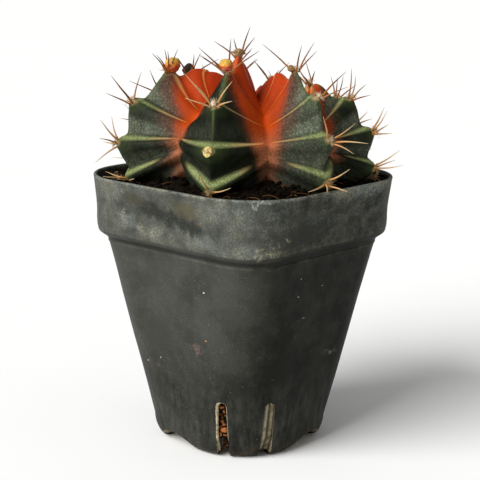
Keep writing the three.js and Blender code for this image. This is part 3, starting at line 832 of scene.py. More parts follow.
def skin_bands(shader, skin, base, ragged, glow):
    """Pale bands, tan where the skin turns red. The lowest ones end before the furrow."""
    level = skin["level"]
    flank = skin["flank"]
    mottle = skin["mottle"]
    off_band = shader.math("ADD", shader.distance(skin["step"], BAND_AT), shader.swing(mottle, 0.025))
    width = shader.product(shader.step(flank, 0.0, 1.0, 0.1, 0.045), shader.step(level, 3.2, 4.2, 1.0, 0.75))
    band = shader.step(shader.math("DIVIDE", off_band, width), 1.2, 0.0)
    above = shader.math("GREATER_THAN", level, FIRST_AREOLE - 0.1)
    below = shader.math("LESS_THAN", level, YOUNGEST + 0.5)
    low_fade = shader.step(flank, 0.45, 0.72, 1.0, 0.0)
    high_fade = shader.step(flank, 0.75, 1.0, 1.0, 0.0)
    fade_out = shader.step(level, 2.5, 2.9, low_fade, high_fade)
    weaker = shader.product(shader.step(level, 2.2, 4.5, 1.0, 0.85), shader.step(mottle, 0.3, 0.6, 0.75, 1.0))
    pale = shader.ramp(skin["scurf"], 0.35, 0.7, (92, 106, 54), (158, 164, 116))
    pale = shader.over(pale, shader.step(ragged, 0.0, 0.4), (168, 140, 92))
    pale = shader.over(pale, glow, (222, 146, 82))
    return shader.mix(shader.product(band, above, below, fade_out, weaker), base, pale)


def skin_crests(shader, skin, base, glow):
    """A pale line along each crest, broader near the top, and felt round the areoles."""
    flank = skin["flank"]
    along = skin["along"]
    line = shader.product(shader.step(flank, 0.03, 0.008), shader.step(along, 2.9, 4.0, 0.0, 0.4))
    broad = shader.product(shader.step(flank, 0.11, 0.03), shader.step(along, 4.1, 4.4))
    broad = shader.product(broad, shader.step(skin["scurf"], 0.35, 0.6, 0.0, 0.5))
    pale = shader.mix(glow, colour(96, 108, 66), colour(206, 118, 74))
    base = shader.mix(shader.math("MAXIMUM", line, broad), base, pale)
    felt = shader.mix(skin["scurf"], colour(112, 88, 50), colour(184, 164, 124))
    return shader.mix(shader.step(skin["pad"], 0.35, 0.8), base, felt)


def skin_material():
    """Dark green skin with pale bands and crest lines, turning red along the furrows and at the top."""
    shader = Shader("cactus_skin", 0.5, specular=0.06)
    skin = skin_inputs(shader)
    powder_and_sheen = skin_powder_and_sheen(shader, skin)
    base, ragged, glow = skin_turning(shader, skin, skin_green(shader, skin, powder_and_sheen))
    base = skin_bands(shader, skin, base, ragged, glow)
    base = skin_crests(shader, skin, base, glow)
    normal = shader.bump(skin["scurf"], 0.07, 0.7)
    normal = shader.bump(skin["mottle"], 0.25, 0.5, under=normal)
    return shader.finish(base, roughness=shader.step(powder_and_sheen, 0.0, 1.0, 0.5, 0.65), normal=normal)


def spine_material():
    """Amber spines with dark tips when young, bleached to straw when old."""
    shader = Shader("cactus_spine", 0.45, specular=0.25)
    along = shader.attribute("along")
    age = shader.attribute("age")
    young = shader.ramp(along, 0.0, 0.8, (160, 94, 30), (74, 36, 12))
    old = shader.ramp(along, 0.0, 1.0, (184, 132, 74), (206, 178, 134))
    grain = shader.noise(0.5, detail=3, squeeze=(1, 1, 0.5))
    base = shader.over(shader.mix(age, young, old), shader.step(grain, 0.45, 0.7, 0.0, 0.35), (120, 74, 38))
    return shader.finish(base, normal=shader.bump(grain, 0.04, 0.5))


def wool_material():
    """Cream wool on young areoles, darker and browner on old ones."""
    shader = Shader("areole_wool", 0.9, specular=0.2)
    grain = shader.noise(0.35, detail=3)
    age = shader.attribute("age")
    young = shader.mix(grain, colour(226, 214, 190), colour(176, 150, 112))
    old = shader.mix(grain, colour(158, 128, 80), colour(98, 70, 38))
    base = shader.mix(age, young, old)
    return shader.finish(base, normal=shader.bump(grain, 0.05, 0.6))


def bud_material():
    """Yellow scales, turning orange and red in patches towards the root."""
    shader = Shader("bud", 0.5)
    along = shader.attribute("along")
    grain = shader.noise(0.7, detail=4)
    share = shader.math("ADD", along, shader.swing(shader.noise(2.2, detail=3), 1.1))
    base = shader.ramp(share, 0.35, 0.6, (176, 52, 20), (206, 118, 28))
    base = shader.over(base, shader.step(share, 0.6, 0.85), (200, 160, 60))
    base = shader.over(base, shader.step(grain, 0.48, 0.62, 0.0, 0.6), (134, 92, 30))
    return shader.finish(base, normal=shader.bump(grain, 0.08, 0.6))


def speck_material():
    """Bits of lime, bark and sand, each with its own colour."""
    shader = Shader("speck", 0.85, specular=0.15)
    grain = shader.noise(0.25, detail=3)
    tint = shader.add("ShaderNodeAttribute", {}, "Color", attribute_name="tint")
    base = shader.mix(shader.step(grain, 0.4, 0.7, 0.0, 0.35), tint, colour(40, 34, 26))
    return shader.finish(base, normal=shader.bump(grain, 0.05, 0.6))


def fibrous_material(name):
    """Dead, fibrous matter: a dried bud or a corky areole."""
    look = FIBROUS[name]
    shader = Shader(name, 0.85, specular=0.25)
    fibre = shader.noise(look["fibre"], detail=5, squeeze=(1, 1, 0.4), rough_share=0.65)
    base = shader.ramp(fibre, 0.3, 0.7, look["dark"], look["light"])
    return shader.finish(base, normal=shader.bump(fibre, 0.2, 0.8))


# Pot

def shrunk(level, amount):
    return {"z": level["z"], "half": level["half"] - amount, "corner": level["corner"] - amount}


def between(lower, upper, share):
    return {key: lerp(lower[key], upper[key], share) for key in ("z", "half", "corner")}


def square_ring(level):
    """One level of the pot: a square with round corners, counter-clockwise from above."""
    ring = []
    centre = level["half"] - level["corner"]
    for quarter in range(4):
        turn = math.radians(90 * quarter)
        spin = np.array([[math.cos(turn), -math.sin(turn)], [math.sin(turn), math.cos(turn)]])
        angles = np.radians(np.linspace(0, 90, CORNER_STEPS + 1))
        arc = centre + level["corner"] * np.stack([np.cos(angles), np.sin(angles)], axis=1)
        across = np.linspace(centre, -centre, FLAT_STEPS + 1)[1:-1]
        flat = np.stack([across, np.full(len(across), level["half"])], axis=1)
        ring.append(np.vstack([arc, flat]) @ spin.T)
    ring = np.vstack(ring)
    return np.column_stack([ring, np.full(len(ring), level["z"])])


def outline_reach(x, y, level):
    """Distance from the pot's axis to a level's outline along a direction in the first quarter."""
    flat = level["half"] - level["corner"]
    side = level["half"] / max(x, y)
    if min(x, y) * side <= flat:
        return side
    along = flat * (x + y)
    return along + math.sqrt(along ** 2 - 2 * flat ** 2 + level["corner"] ** 2)


def bead_levels(foot):
    """The thin raised line that runs round the body under the rim."""
    levels = []
    for share in np.linspace(-0.5, 0.5, LEVELS["bead"]):
        z = BODY_TOP["z"] - BEAD["below"] + BEAD["width"] * share
        level = between(foot, BODY_TOP, (z - foot["z"]) / (BODY_TOP["z"] - foot["z"]))
        levels.append(shrunk(level, -BEAD["height"] * math.cos(math.pi * share)))
    return levels


def wall_levels():
    """Levels of the outside above its rounded bottom edge."""
    foot = {"z": BASE_EDGE["height"], **BASE}
    levels = [between(foot, BODY_TOP, share) for share in np.linspace(0, 1, LEVELS["body"] + 1)[:-1]]
    levels += bead_levels(foot)
    levels.append(BODY_TOP)
    for share in np.linspace(0, 1, LEVELS["ease"] + 1)[1:]:
        level = between(BODY_TOP, RIM_FOOT, smoothstep(share, 0, 1))
        levels.append({**level, "z": lerp(BODY_TOP["z"], RIM_FOOT["z"], share)})
    levels += [between(RIM_FOOT, RIM_TOP, share) for share in np.linspace(0, 0.97, LEVELS["rim"] + 1)[1:]]
    return levels


def lip_levels():
    """The rounded top edge, from outside to inside."""
    radius = WALL / 2
    levels = []
    for angle in np.radians(np.linspace(0, 180, LEVELS["lip"])):
        top = {**RIM_TOP, "z": POT_HEIGHT - radius + radius * math.sin(angle)}
        levels.append(shrunk(top, radius * (1 - math.cos(angle))))
    return levels


def pot_levels():
    """All levels of the pot, from the middle of its underside round the lip to the middle of its floor."""
    recess = shrunk({"z": FLOOR_UNDER, **BASE}, BASE_EDGE["inward"] + FOOT_WIDTH)
    levels = [recess, {**recess, "z": FOOT_EDGE}, shrunk({**recess, "z": 0}, -FOOT_EDGE)]
    for angle in np.radians(np.linspace(0, 90, LEVELS["edge"] + 1)[:-1]):
        edge = {"z": BASE_EDGE["height"] * (1 - math.cos(angle)), **BASE}
        levels.append(shrunk(edge, BASE_EDGE["inward"] * (1 - math.sin(angle))))
    walls = wall_levels()
    levels += walls + lip_levels()
    levels += [shrunk(level, WALL) for level in reversed(walls)]
    levels.append(shrunk({"z": FLOOR_TOP, **BASE}, WALL + FLOOR_EDGE))
    return levels


def uneven(points):
    """Points of the pot's wall with the soft waves and the dents of thin, used plastic."""
    outward = points * [1, 1, 0]
    outward /= np.linalg.norm(outward, axis=1)[:, None] + 1e-9
    wave = WAVE * rough(points, 24, seed=3) + 0.4 * WAVE * rough(points, 9, seed=8)
    wave *= smoothstep(points[:, 2], 2, 20)
    turn = np.degrees(np.arctan2(points[:, 1], points[:, 0])) % 360
    for dent in DENTS:
        aside = (turn - dent["turn"]) / dent["turn_width"]
        above = (points[:, 2] - dent["z"]) / dent["z_width"]
        wave -= dent["depth"] * np.exp(-aside ** 2 - above ** 2)
    return points + outward * wave[:, None]


def prism(outline, start, end, turn):
    """A closed bar along the compass turn, with an outline of [across, height] points."""
    outline = np.asarray(outline, float)
    rings = [np.column_stack([np.full(len(outline), reach), outline]) for reach in (start, end)]
    middle = outline.mean(axis=0)
    points, faces = loft(rings, [start, *middle], [end, *middle])
    spin = np.array(Matrix.Rotation(math.radians(turn), 3, "Z"))
    return points @ spin.T, faces


def arch_outline():
    """The round of a low arch between two feet, down past the floor plane."""
    half = ARCH["width"] / 2
    radius = (half ** 2 + ARCH["height"] ** 2) / (2 * ARCH["height"])
    angles = np.radians(np.linspace(0, 360, 48, endpoint=False))
    return np.stack([radius * np.cos(angles), ARCH["height"] - radius + radius * np.sin(angles)], axis=1)


def slot_outline():
    shoulder = SLOT["height"] - SLOT["top"] / 2
    angles = np.radians(np.linspace(0, 180, 13))
    arc = SLOT["top"] / 2 * np.stack([np.cos(angles), np.sin(angles)], axis=1) + [0, shoulder]
    foot = [[-SLOT["bottom"] / 2, -1], [SLOT["bottom"] / 2, -1]]
    return np.vstack([foot, arc])


def beside_corners(turn):
    """Compass turns on both sides of the front and the back corner."""
    return [corner + side * turn for corner in SLOTTED_CORNERS for side in (-1, 1)]


def build_pot(material):
    rings = [square_ring(level) for level in pot_levels()]
    points, faces = loft(rings, [0, 0, FLOOR_UNDER], [0, 0, FLOOR_TOP])
    mesh = mesh_of("pot_body", uneven(points), faces)
    bars = []
    for turn in beside_corners(ARCH["turn"]):
        bars.append(prism(arch_outline(), BASE["half"] / 2, 2 * BASE["half"], turn))
    for turn in beside_corners(SLOT["turn"]):
        bars.append(prism(slot_outline(), SLOT["from"], SLOT["to"], turn))
    cutters = [mesh_of("cutter", *bar) for bar in bars]
    mesh = cut(mesh, cutters, sharp_angle=35)
    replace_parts(piece("pot_body", mesh, material, "pot_plastic"), "pot")


def on_wall(turn, z):
    """A place on the outside of the pot at a compass turn and height."""
    levels = [shrunk({"z": 0, **BASE}, BASE_EDGE["inward"])] + wall_levels()
    heights = [level["z"] for level in levels]
    level = {key: np.interp(z, heights, [level[key] for level in levels]) for key in ("half", "corner")}
    angle = math.radians(turn)
    reach = outline_reach(abs(math.cos(angle)), abs(math.sin(angle)), level)
    return uneven(np.array([[reach * math.cos(angle), reach * math.sin(angle), z]]))[0]


def lump(unit, size):
    """The points of one irregular crumb about its own middle, turned at random."""
    uneven_size = 1 + CRUMB["uneven"] * rough(unit, CRUMB["grain"], seed=random.uniform(0, 99))
    shape = size * np.array([1, *random.uniform(*CRUMB["lesser"], 2)])
    turn = Matrix.Rotation(random.uniform(0, 6.3), 3, "Z")
    turn = turn @ Matrix.Rotation(random.normal(0, CRUMB["tilt"]), 3, "X")
    return (unit * uneven_size[:, None] * shape) @ np.array(turn).T


def build_specks(material):
    """Bits of lime, bark and sand that stick to the wall."""
    heap = Heap()
    unit, faces = ball(2)
    for speck in SPECKS:
        centre = on_wall(speck["turn"], speck["z"])
        heap.add(lump(unit, speck["size"]) + centre, faces, tint=colour(*speck["colour"]))
    heap.finish("pot_specks", material, "pot_plastic")


def in_slot(side, depth, across, z):
    """A place in a front slot: how far inside the wall's outer face, across the slot and up."""
    turn = SLOTTED_CORNERS[1] + side * SLOT["turn"]
    angle = math.radians(turn)
    out = np.array([math.cos(angle), math.sin(angle), 0])
    aside = np.array([-math.sin(angle), math.cos(angle), 0])
    return on_wall(turn, z) - depth * out + across * aside


def build_bark(material):
    """Lumps of bark and coir that show in the left front slot."""
    heap = Heap("tone")
    unit, faces = ball(3)
    for across, z, size, tone in BARK:
        for _ in range(BARK_LUMPS["each"]):
            shift = random.normal(0, BARK_LUMPS["shift"], 2)
            centre = in_slot(-1, random.uniform(*BARK_LUMPS["depths"]), across + shift[0], z + shift[1])
            points = lump(unit, size * random.uniform(*BARK_LUMPS["sizes"])) + centre
            heap.add(points, faces, tone=np.clip(tone + random.normal(0, BARK_LUMPS["tone"]), 0, 1))
    heap.finish("slot_bark", material, "soil")


def build_slot_crust(material):
    """A crust of lime round the left front slot, thick on its left edge and thin on its right."""
    half = SLOT["bottom"] / 2
    corners = np.array([[-half, CRUST["from"]], *slot_outline()[:1:-1], [half, CRUST["from"]]])
    walked = np.append(0, np.cumsum(np.linalg.norm(np.diff(corners, axis=0), axis=1)))
    steps = np.linspace(0, walked[-1], CRUST["steps"])
    across = np.interp(steps, walked, corners[:, 0])
    up = np.interp(steps, walked, corners[:, 1])
    radii = lerp(CRUST["left"], CRUST["right"], smoothstep(across, -1, 1))
    path = []
    for aside, z, radius in zip(across, up, radii):
        path.append(in_slot(-1, CRUST["sunk"], aside - math.copysign(0.6 * radius, aside), z))
    radii = radii * (1 + CRUST["uneven"] * rough(np.array(path), 0.8, seed=2))
    points, faces = tube(path, radii, CRUST["sides"])
    tone = 0.5 + 0.5 * rough(points, 0.9, seed=5)
    piece("slot_crust", mesh_of("slot_crust", points, faces), material, "pot_plastic", tone=tone)


def groove_share(across):
    """How deep the groove down the plug of dirt is, from 0 to 1."""
    return np.exp(-((across + DIRT["groove_at"]) / DIRT["groove_width"]) ** 2)


def dirt_ring(z):
    """One level of the plug of dirt, from the middle of its front round its flat back."""
    top = smoothstep(z, SLOT["height"], SLOT["height"] - 1.2)
    width = lerp(SLOT["bottom"], SLOT["top"], z / SLOT["height"])
    half = width / 2 * lerp(0.3, 1, top) - DIRT["gap"]
    ring = []
    for angle in np.radians(np.linspace(0, 360, DIRT["sides"], endpoint=False)):
        across = half * math.copysign(abs(math.sin(angle)) ** 0.6, math.sin(angle))
        front = DIRT["sunk"] + DIRT["groove"] * groove_share(across) + 0.35 * (across / half) ** 4
        depth = front if math.cos(angle) > 0 else DIRT["sunk"] + DIRT["back"]
        ring.append(in_slot(1, depth + 0.5 * (1 - abs(math.cos(angle))), across, z))
    return ring


def build_slot_dirt(material):
    """A plug of dried dirt in the right front slot, with a groove down its middle."""
    rings = np.array([dirt_ring(z) for z in np.linspace(DIRT["foot"], DIRT["top"], DIRT["rings"])])
    points, faces = loft(rings, rings[0].mean(axis=0), rings[-1].mean(axis=0))
    points += 0.14 * rough(points, 0.9, seed=12)[:, None] * np.array([-0.7, -0.7, 0.2])
    turn = math.radians(SLOTTED_CORNERS[1] + SLOT["turn"])
    aside = points @ [-math.sin(turn), math.cos(turn), 0]
    tone = 0.7 + 0.5 * rough(points, 1.2, seed=3) - 0.8 * groove_share(aside)
    tone -= 0.3 * smoothstep(aside, -0.2, 1)
    mesh = mesh_of("slot_dirt", points, faces)
    piece("slot_dirt", mesh, material, "soil", tone=np.clip(tone, 0, 1))


# Cactus skin, with the formulas of the CAD source

def fade(t):
    end = len(CREST) - 1
    return np.clip(t / FIRST_AREOLE, 0, 1) * np.clip((end - t) / (end - YOUNGEST), 0, 1)


def shaped(points, reach, rise, peak):
    """The curve of a rib or furrow with its own reach, rise and peak."""
    made = []
    for index, (radius, z) in enumerate(points):
        lift = rise * np.clip((index - FIRST_AREOLE) / 3, 0, 1) * fade(index)
        top = peak if index == YOUNGEST else 0
        made.append([radius * (1 + (reach - 1) * fade(index)), z + lift + top])
    return made


def furrow_curve(index):
    rib = RIBS[index]
    following = RIBS[(index + 1) % len(RIBS)]
    reach = (rib["reach"] + following["reach"]) / 2
    return shaped(FURROW, reach, (rib["rise"] + following["rise"]) / 4, 0)


CRESTS = [shaped(CREST, rib["reach"], rib["rise"], rib["peak"]) for rib in RIBS]
FURROWS = [furrow_curve(index) for index in range(len(RIBS))]


def slanted(across, t):
    """The level whose band or hollow passes a place on the flank."""
    return SLANT["level"] + (t - SLANT["level"]) / (1 - SLANT["share"] * np.abs(across))


def hollow(level, t):
    """Depth of the hollow: 0 level with an areole, 1 where it is deepest, and none past the youngest one."""
    step = level % 1
    phase = np.where(step < HOLLOW_AT, step / HOLLOW_AT, (1 - step) / (1 - HOLLOW_AT))
    return (0.5 - 0.5 * np.cos(math.pi * phase)) * fade(t) * np.clip(YOUNGEST + 0.5 - level, 0, 1)


def spacing(index):
    """Degrees from a rib to the next one."""
    return (RIBS[(index + 1) % len(RIBS)]["turn"] - RIBS[index]["turn"]) % 360


def pad_share(index, across, t, reach):
    """From 1 in the middle of an areole to 0 at its reach, in steps of the rib."""
    order = np.round(t) - FIRST_AREOLE
    distance = np.hypot(across, t - np.round(t)) / reach
    there = (order >= 0) & (order < RIBS[index]["areoles"])
    return np.where(there, np.clip(1 - distance, 0, 1), 0)


def ridge(across, level):
    """Height of the low ridge that each pale band runs along."""
    off = (level % 1 - BAND_AT) / RIDGE["width"]
    along = np.clip(1 - np.abs(across), 0, 1) ** 0.7
    inside = (level > 1.7) & (level < YOUNGEST + 0.5)
    return np.where(inside, RIDGE["height"] * np.exp(-off ** 2) * along, 0)


def skin_point(index, across, t, growth=0.0, fine=False):
    """Points of the ribbed skin: across runs from -1 to 1 over the rib, t from the neck to the top."""
    across, t = np.broadcast_arrays(np.asarray(across, float), np.asarray(t, float))
    rib = RIBS[index]
    slip = rib["slip"] * fade(t)
    crest = on_curve(CRESTS[index], t + slip)
    ahead = on_curve(CRESTS[index], t + slip + 0.05)
    slope = np.arctan2(ahead[..., 1] - crest[..., 1], ahead[..., 0] - crest[..., 0])
    left = (across < 0)[..., None]
    furrow = np.where(left, on_curve(FURROWS[index - 1], t), on_curve(FURROWS[index], t))
    edge = math.hypot(1, CREST_ROUND) - CREST_ROUND
    sharp = (np.hypot(across, CREST_ROUND) - CREST_ROUND) / edge
    level = slanted(across, t)
    sunk = hollow(level, t)
    power = np.interp(t, FLANK_POWER["levels"], FLANK_POWER["values"])
    swell = np.interp(t, FLANK_SWELL["levels"], FLANK_SWELL["values"])
    weight = 1 - sharp ** (power + swell * (1 - 2 * sunk))
    depth = HOLLOW * sunk * lerp(HOLLOW_FLANK, 1, weight)
    depth = depth - PAD["height"] * pad_share(index, across, t, PAD["width"])
    if fine:
        depth = depth - ridge(across, level)
    radius = lerp(furrow[..., 0], crest[..., 0], weight) - depth * np.sin(slope) + OUTWARD * growth
    z = lerp(furrow[..., 1], crest[..., 1], weight) + depth * np.cos(slope) - growth
    half = np.where(across < 0, spacing(index - 1), spacing(index)) / 2
    turn = np.radians(rib["turn"] + across * half)
    return AXIS + np.stack([radius * np.cos(turn), radius * np.sin(turn), z], axis=-1)


def skin_grid(columns, rows_per_step):
    """Places across a rib, and levels along it, that the skin has points at."""
    across = 2 * np.arange(columns) / columns - 1
    levels = np.arange((len(CREST) - 1) * rows_per_step) / rows_per_step
    return across, levels


def skin_shape(across, levels, growth=0.0, fine=False):
    """Points and faces of the buried base and the ribbed skin above it."""
    grid = [skin_point(rib, across[None], levels[:, None], growth, fine) for rib in range(len(RIBS))]
    skin = np.concatenate(grid, axis=1)
    root = []
    for radius, z in ROOT:
        ring = lerp(AXIS, skin[0], (radius + growth) / CREST[0][0])
        ring[:, 2] = z - growth
        root.append(ring)
    rings = np.concatenate([np.array(root), skin])
    tip = AXIS + [0, 0, ROOT_TIP - growth]
    return loft(rings, tip, rings[-1].mean(axis=0))


def red_start(index, side, t):
    """Where the red begins on a flank, from crest 0 to furrow 1."""
    edges = RIBS[index].get("red", [RED_BY_RULE, RED_BY_RULE])[side]
    return np.interp(t, RED_LEVELS, edges)


def skin_values(across, levels):
    """What the skin's colours depend on, for each of its points in their order."""
    values = {name: [] for name in SKIN_VALUES}
    side, t = np.meshgrid(across, levels)
    for index, rib in enumerate(RIBS):
        start = np.where(side < 0, red_start(index, 0, t), red_start(index, 1, t))
        values["along"].append(t)
        values["level"].append(slanted(side, t))
        values["flank"].append(np.abs(side))
        values["red"].append(np.clip(0.5 + (np.abs(side) - start) / RED_BLUR, 0, 1))
        values["bloom"].append(np.where(side < 0, *rib.get("bloom", BLOOM_BY_RULE)))
        values["pad"].append(pad_share(index, side, t, PAD["width"]))
        values["chin"].append(pad_share(index, side, t, CHIN_REACH))
    made = {}
    for name, grids in values.items():
        skin = np.concatenate(grids, axis=1)
        root = np.repeat(skin[:1], len(ROOT), axis=0)
        flat = np.concatenate([root, skin]).ravel()
        made[name] = np.append(flat, [flat[0], flat[-1]])
    return made


def build_skin(material):
    grid = skin_grid(RIB_COLUMNS, ROWS_PER_STEP)
    mesh = mesh_of("cactus_skin", *skin_shape(*grid, fine=True))
    made = piece("cactus_skin", mesh, material, "cactus_skin", **skin_values(*grid))
    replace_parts(made, "cactus")


def areole(index, order):
    """Where an areole sits, with the directions out of the skin, up the rib and across it."""
    t = FIRST_AREOLE + order
    point = skin_point(index, 0, t)
    up = skin_point(index, 0, t + 0.2) - skin_point(index, 0, t - 0.2)
    up /= np.linalg.norm(up)
    turn = math.radians(RIBS[index]["turn"])
    across = np.array([-math.sin(turn), math.cos(turn), 0])
    out = np.cross(across, up)
    return point, up, across, out / np.linalg.norm(out)


def areoles():
    return [(index, order) for index, rib in enumerate(RIBS) for order in range(rib["areoles"])]


def drawn_fan(index, order):
    """The spines of an areole with no fan of its own, by rule."""
    fan = []
    for number, turn in enumerate(FAN):
        seed = 97 * index + 13 * order + number
        age = SPINE["young"] if FIRST_AREOLE + order == YOUNGEST else 1
        mean = age * RIBS[index].get("spine", SPINE["usual"])
        fan.append([
            turn + FAN_JITTER * (draw(seed) - 0.5),
            lerp(*LEAN, draw(seed + 0.3)),
            mean * (1 + SPINE["spread"] * (draw(seed + 0.6) - 0.5)),
        ])
    return fan


def fan_of(index, order):
    fans = RIBS[index].get("fans", [])
    return fans[order] if order < len(fans) else drawn_fan(index, order)


def spine_path(place, turn, lean, length):
    """Points along a spine, from its sunken root to its tip."""
    point, up, across, out = place
    flat = up * math.cos(math.radians(turn)) + across * math.sin(math.radians(turn))
    heading = out * math.sin(math.radians(lean)) + flat * math.cos(math.radians(lean))
    heading[2] = max(heading[2], (SPINE["lowest"] - point[2]) / length)
    heading /= np.linalg.norm(heading)
    side = np.cross(heading, out)
    side /= np.linalg.norm(side) + 1e-9
    root = point + flat * SPINE["apart"] - out * SPINE["sunk"]
    sway = SPINE["sway"] * random.uniform(-1, 1)
    share = np.linspace(0, 1, SPINE["rings"])[:, None]
    free = point + heading * length * share + out * SPINE["bend"] * share ** 2
    free = free + side * sway * np.sin(math.pi * share)
    grip = (1 - share) ** 3
    return free * (1 - grip) + (root + (free - point)) * grip


def build_spines(material):
    heap = Heap("along", "age")
    share = np.linspace(0, 1, SPINE["rings"])
    taper = lerp(1, SPINE["tip"], share ** SPINE["taper"])
    along = np.append(np.repeat(share, SPINE["sides"]), [0, 1])
    for index, order in areoles():
        place = areole(index, order)
        age = wool_of(index, order).get("spine_age", 1 - smoothstep(order, 0.3, 2.4))
        for turn, lean, length in fan_of(index, order):
            path = spine_path(place, turn, lean, length)
            radius = SPINE["radius"] * random.uniform(0.85, 1.15)
            spine = tube(path, radius * taper, SPINE["sides"])
            heap.add(*spine, along=along, age=np.clip(age + random.uniform(-0.15, 0.15), 0, 1))
    heap.finish("spines", material, "cactus_skin")


def wool_of(index, order):
    return WOOL[WOOL_KINDS.get((index, order), "usual")]


def centre_on(shape):
    """The middle of what stands on an areole, and the directions across, up and out of the skin."""
    point, up, across, out = areole(shape["rib"], shape["order"])
    centre = point + up * shape["up"] + across * shape["across"] + out * shape["out"]
    return centre, np.array([across, up, out])


def wool_core(index, order, radius):
    """The felted middle of a woolly pad, set into the skin."""
    points, faces = ball(3)
    core = {"rib": index, "order": order, "up": 0, "across": 0, "out": 0.35 * radius}
    centre, axes = centre_on(core)
    size = radius * (1 + 0.15 * rough(points, 0.4, seed=radius))
    return centre + (points * size[:, None] * [0.9, 1.15, 0.9]) @ axes, faces


def wool_hair(place, wool):
    """One short curly hair of a woolly pad."""
    point, up, across, out = place
    spot = random.normal(0, 0.35 + 0.35 * wool["core"], 2)
    lean = np.clip(np.hypot(*spot), 0, 1.2)
    start = point + up * spot[0] * 1.2 + across * spot[1] * 0.8
    start = start + out * (0.7 * wool["core"] - 0.5 * lean)
    spread = HAIR["splay"] * spot + random.normal(0, HAIR["stray"], 2)
    direction = out + up * spread[0] + across * spread[1]
    direction /= np.linalg.norm(direction)
    length = random.uniform(*HAIR["lengths"]) * wool["length"]
    bend = random.normal(0, HAIR["curl"], 3)
    share = np.linspace(0, 1, len(HAIR["radii"]))[:, None]
    path = start + direction * length * share + bend * share ** 2 * 0.6
    return tube(path, HAIR["radii"], HAIR["sides"])


def build_wool(material):
    """A felted core and short curly hairs on each areole, and an old pad beside one of them."""
    heap = Heap("age")
    for index, order in areoles():
        wool = wool_of(index, order)
        place = areole(index, order)
        age = wool.get("age", 1 - smoothstep(order, 0, 2))
        heap.add(*wool_core(index, order, wool["core"]), age=age)
        for _ in range(wool["hairs"]):
            hair = wool_hair(place, wool)
            heap.add(*hair, age=np.clip(age + random.normal(0, 0.12), 0, 1))
    points, faces = ball(4)
    centre, axes = centre_on(WOOLLY_PAD)
    size = WOOLLY_PAD["radius"] * (1 + 0.15 * rough(points, 0.3, seed=9))
    heap.add(centre + (points * size[:, None]) @ axes, faces, age=1)
    heap.finish("areole_wool", material, "cactus_skin")


def bud_points(shape):
    """A round bud of overlapping scales, standing out of the skin, and how far up it each point is."""
    points, faces = ball(4)
    height = (points[:, 2] + 1) / 2
    around = np.arctan2(points[:, 1], points[:, 0]) / (2 * math.pi)
    row = np.floor(height * SCALES["rows"])
    off = np.abs((around * SCALES["around"] + 0.5 * (row % 2)) % 1 - 0.5) * 2
    edge = smoothstep(height * SCALES["rows"] % 1 + SCALES["point"] * off ** 2, 0.55, 1.0)
    size = shape["radius"] * (1.04 - SCALES["edge"] * edge)
    size = size * (1 + 0.05 * rough(points, 0.6, seed=shape["rib"]))
    centre, axes = centre_on(shape)
    return centre + (points * size[:, None]) @ axes, faces, height


def build_buds(material):
    heap = Heap("along")
    for shape in BUDS:
        points, faces, height = bud_points(shape)
        heap.add(points, faces, along=height)
    heap.finish("buds", material, "cactus_skin")


def build_dried_bud(material):
    """A shrivelled bud with folded lobes and a pointed top."""
    centre, axes = centre_on(DRIED_BUD)
    points, faces = ball(5)
    height = points[:, 2]
    around = np.arctan2(points[:, 1], points[:, 0])
    fold = DRIED_BUD["fold"] * np.cos(DRIED_BUD["lobes"] * around)
    size = DRIED_BUD["radius"] * (1 + fold * (1 - height ** 2))
    size = size * (1 + 0.1 * rough(points, 0.35, seed=5) + 0.05 * rough(points, 0.15, seed=6))
    local = (points * size[:, None]) @ axes
    rise = np.clip(local[:, 2] / DRIED_BUD["radius"], 0, 1.2)
    local *= np.stack([1 - 0.45 * rise ** 2, 1 - 0.45 * rise ** 2, 1 + 0.15 * rise], axis=1)
    piece("dried_bud", mesh_of("dried_bud", centre + local, faces), material, "cactus_skin")


def build_bare_areole(material):
    """An old areole that has lost its spines: a corky disc with a raised edge and pits."""
    centre, axes = centre_on(BARE_AREOLE)
    points, faces = ball(4)
    reach = np.hypot(points[:, 0], points[:, 1])
    radius = BARE_AREOLE["radius"]
    local = points * [radius * BARE_AREOLE["narrow"], radius, BARE_AREOLE["height"]]
    dish = BARE_AREOLE["dish"] * smoothstep(reach, 0.75, 0.2) * (points[:, 2] > 0)
    local[:, 2] += BARE_AREOLE["pits"] * rough(points, 0.3, seed=2) - dish
    piece("bare_areole", mesh_of("bare_areole", centre + local @ axes, faces), material, "cactus_skin")


# Soil

def soil_height(x, y):
    distance = np.hypot(x - AXIS[0], y - AXIS[1])
    share = smoothstep(distance, SOIL["near"], SOIL["far"])
    crumbs = np.sin(0.9 * x + 1.3 * np.sin(0.7 * y)) * np.cos(0.8 * y - 0.9 * np.sin(0.6 * x))
    return lerp(SOIL["heap"], SOIL["wall"], share) + SOIL["crumb"] * crumbs


def even_ring(level):
    """A level's outline at evenly spread compass turns."""
    ring = []
    for angle in np.arange(SOIL_COLUMNS) * 2 * math.pi / SOIL_COLUMNS:
        x, y = math.cos(angle), math.sin(angle)
        reach = outline_reach(abs(x), abs(y), level)
        ring.append([x * reach, y * reach, level["z"]])
    return np.array(ring)


def soil_border():
    """The level where the soil meets the wall."""
    edge = SOIL["wall"] - 2 * SOIL["crumb"]
    share = (edge - RIM_FOOT["z"]) / (RIM_TOP["z"] - RIM_FOOT["z"])
    return shrunk(between(RIM_FOOT, RIM_TOP, share), WALL + GAP)


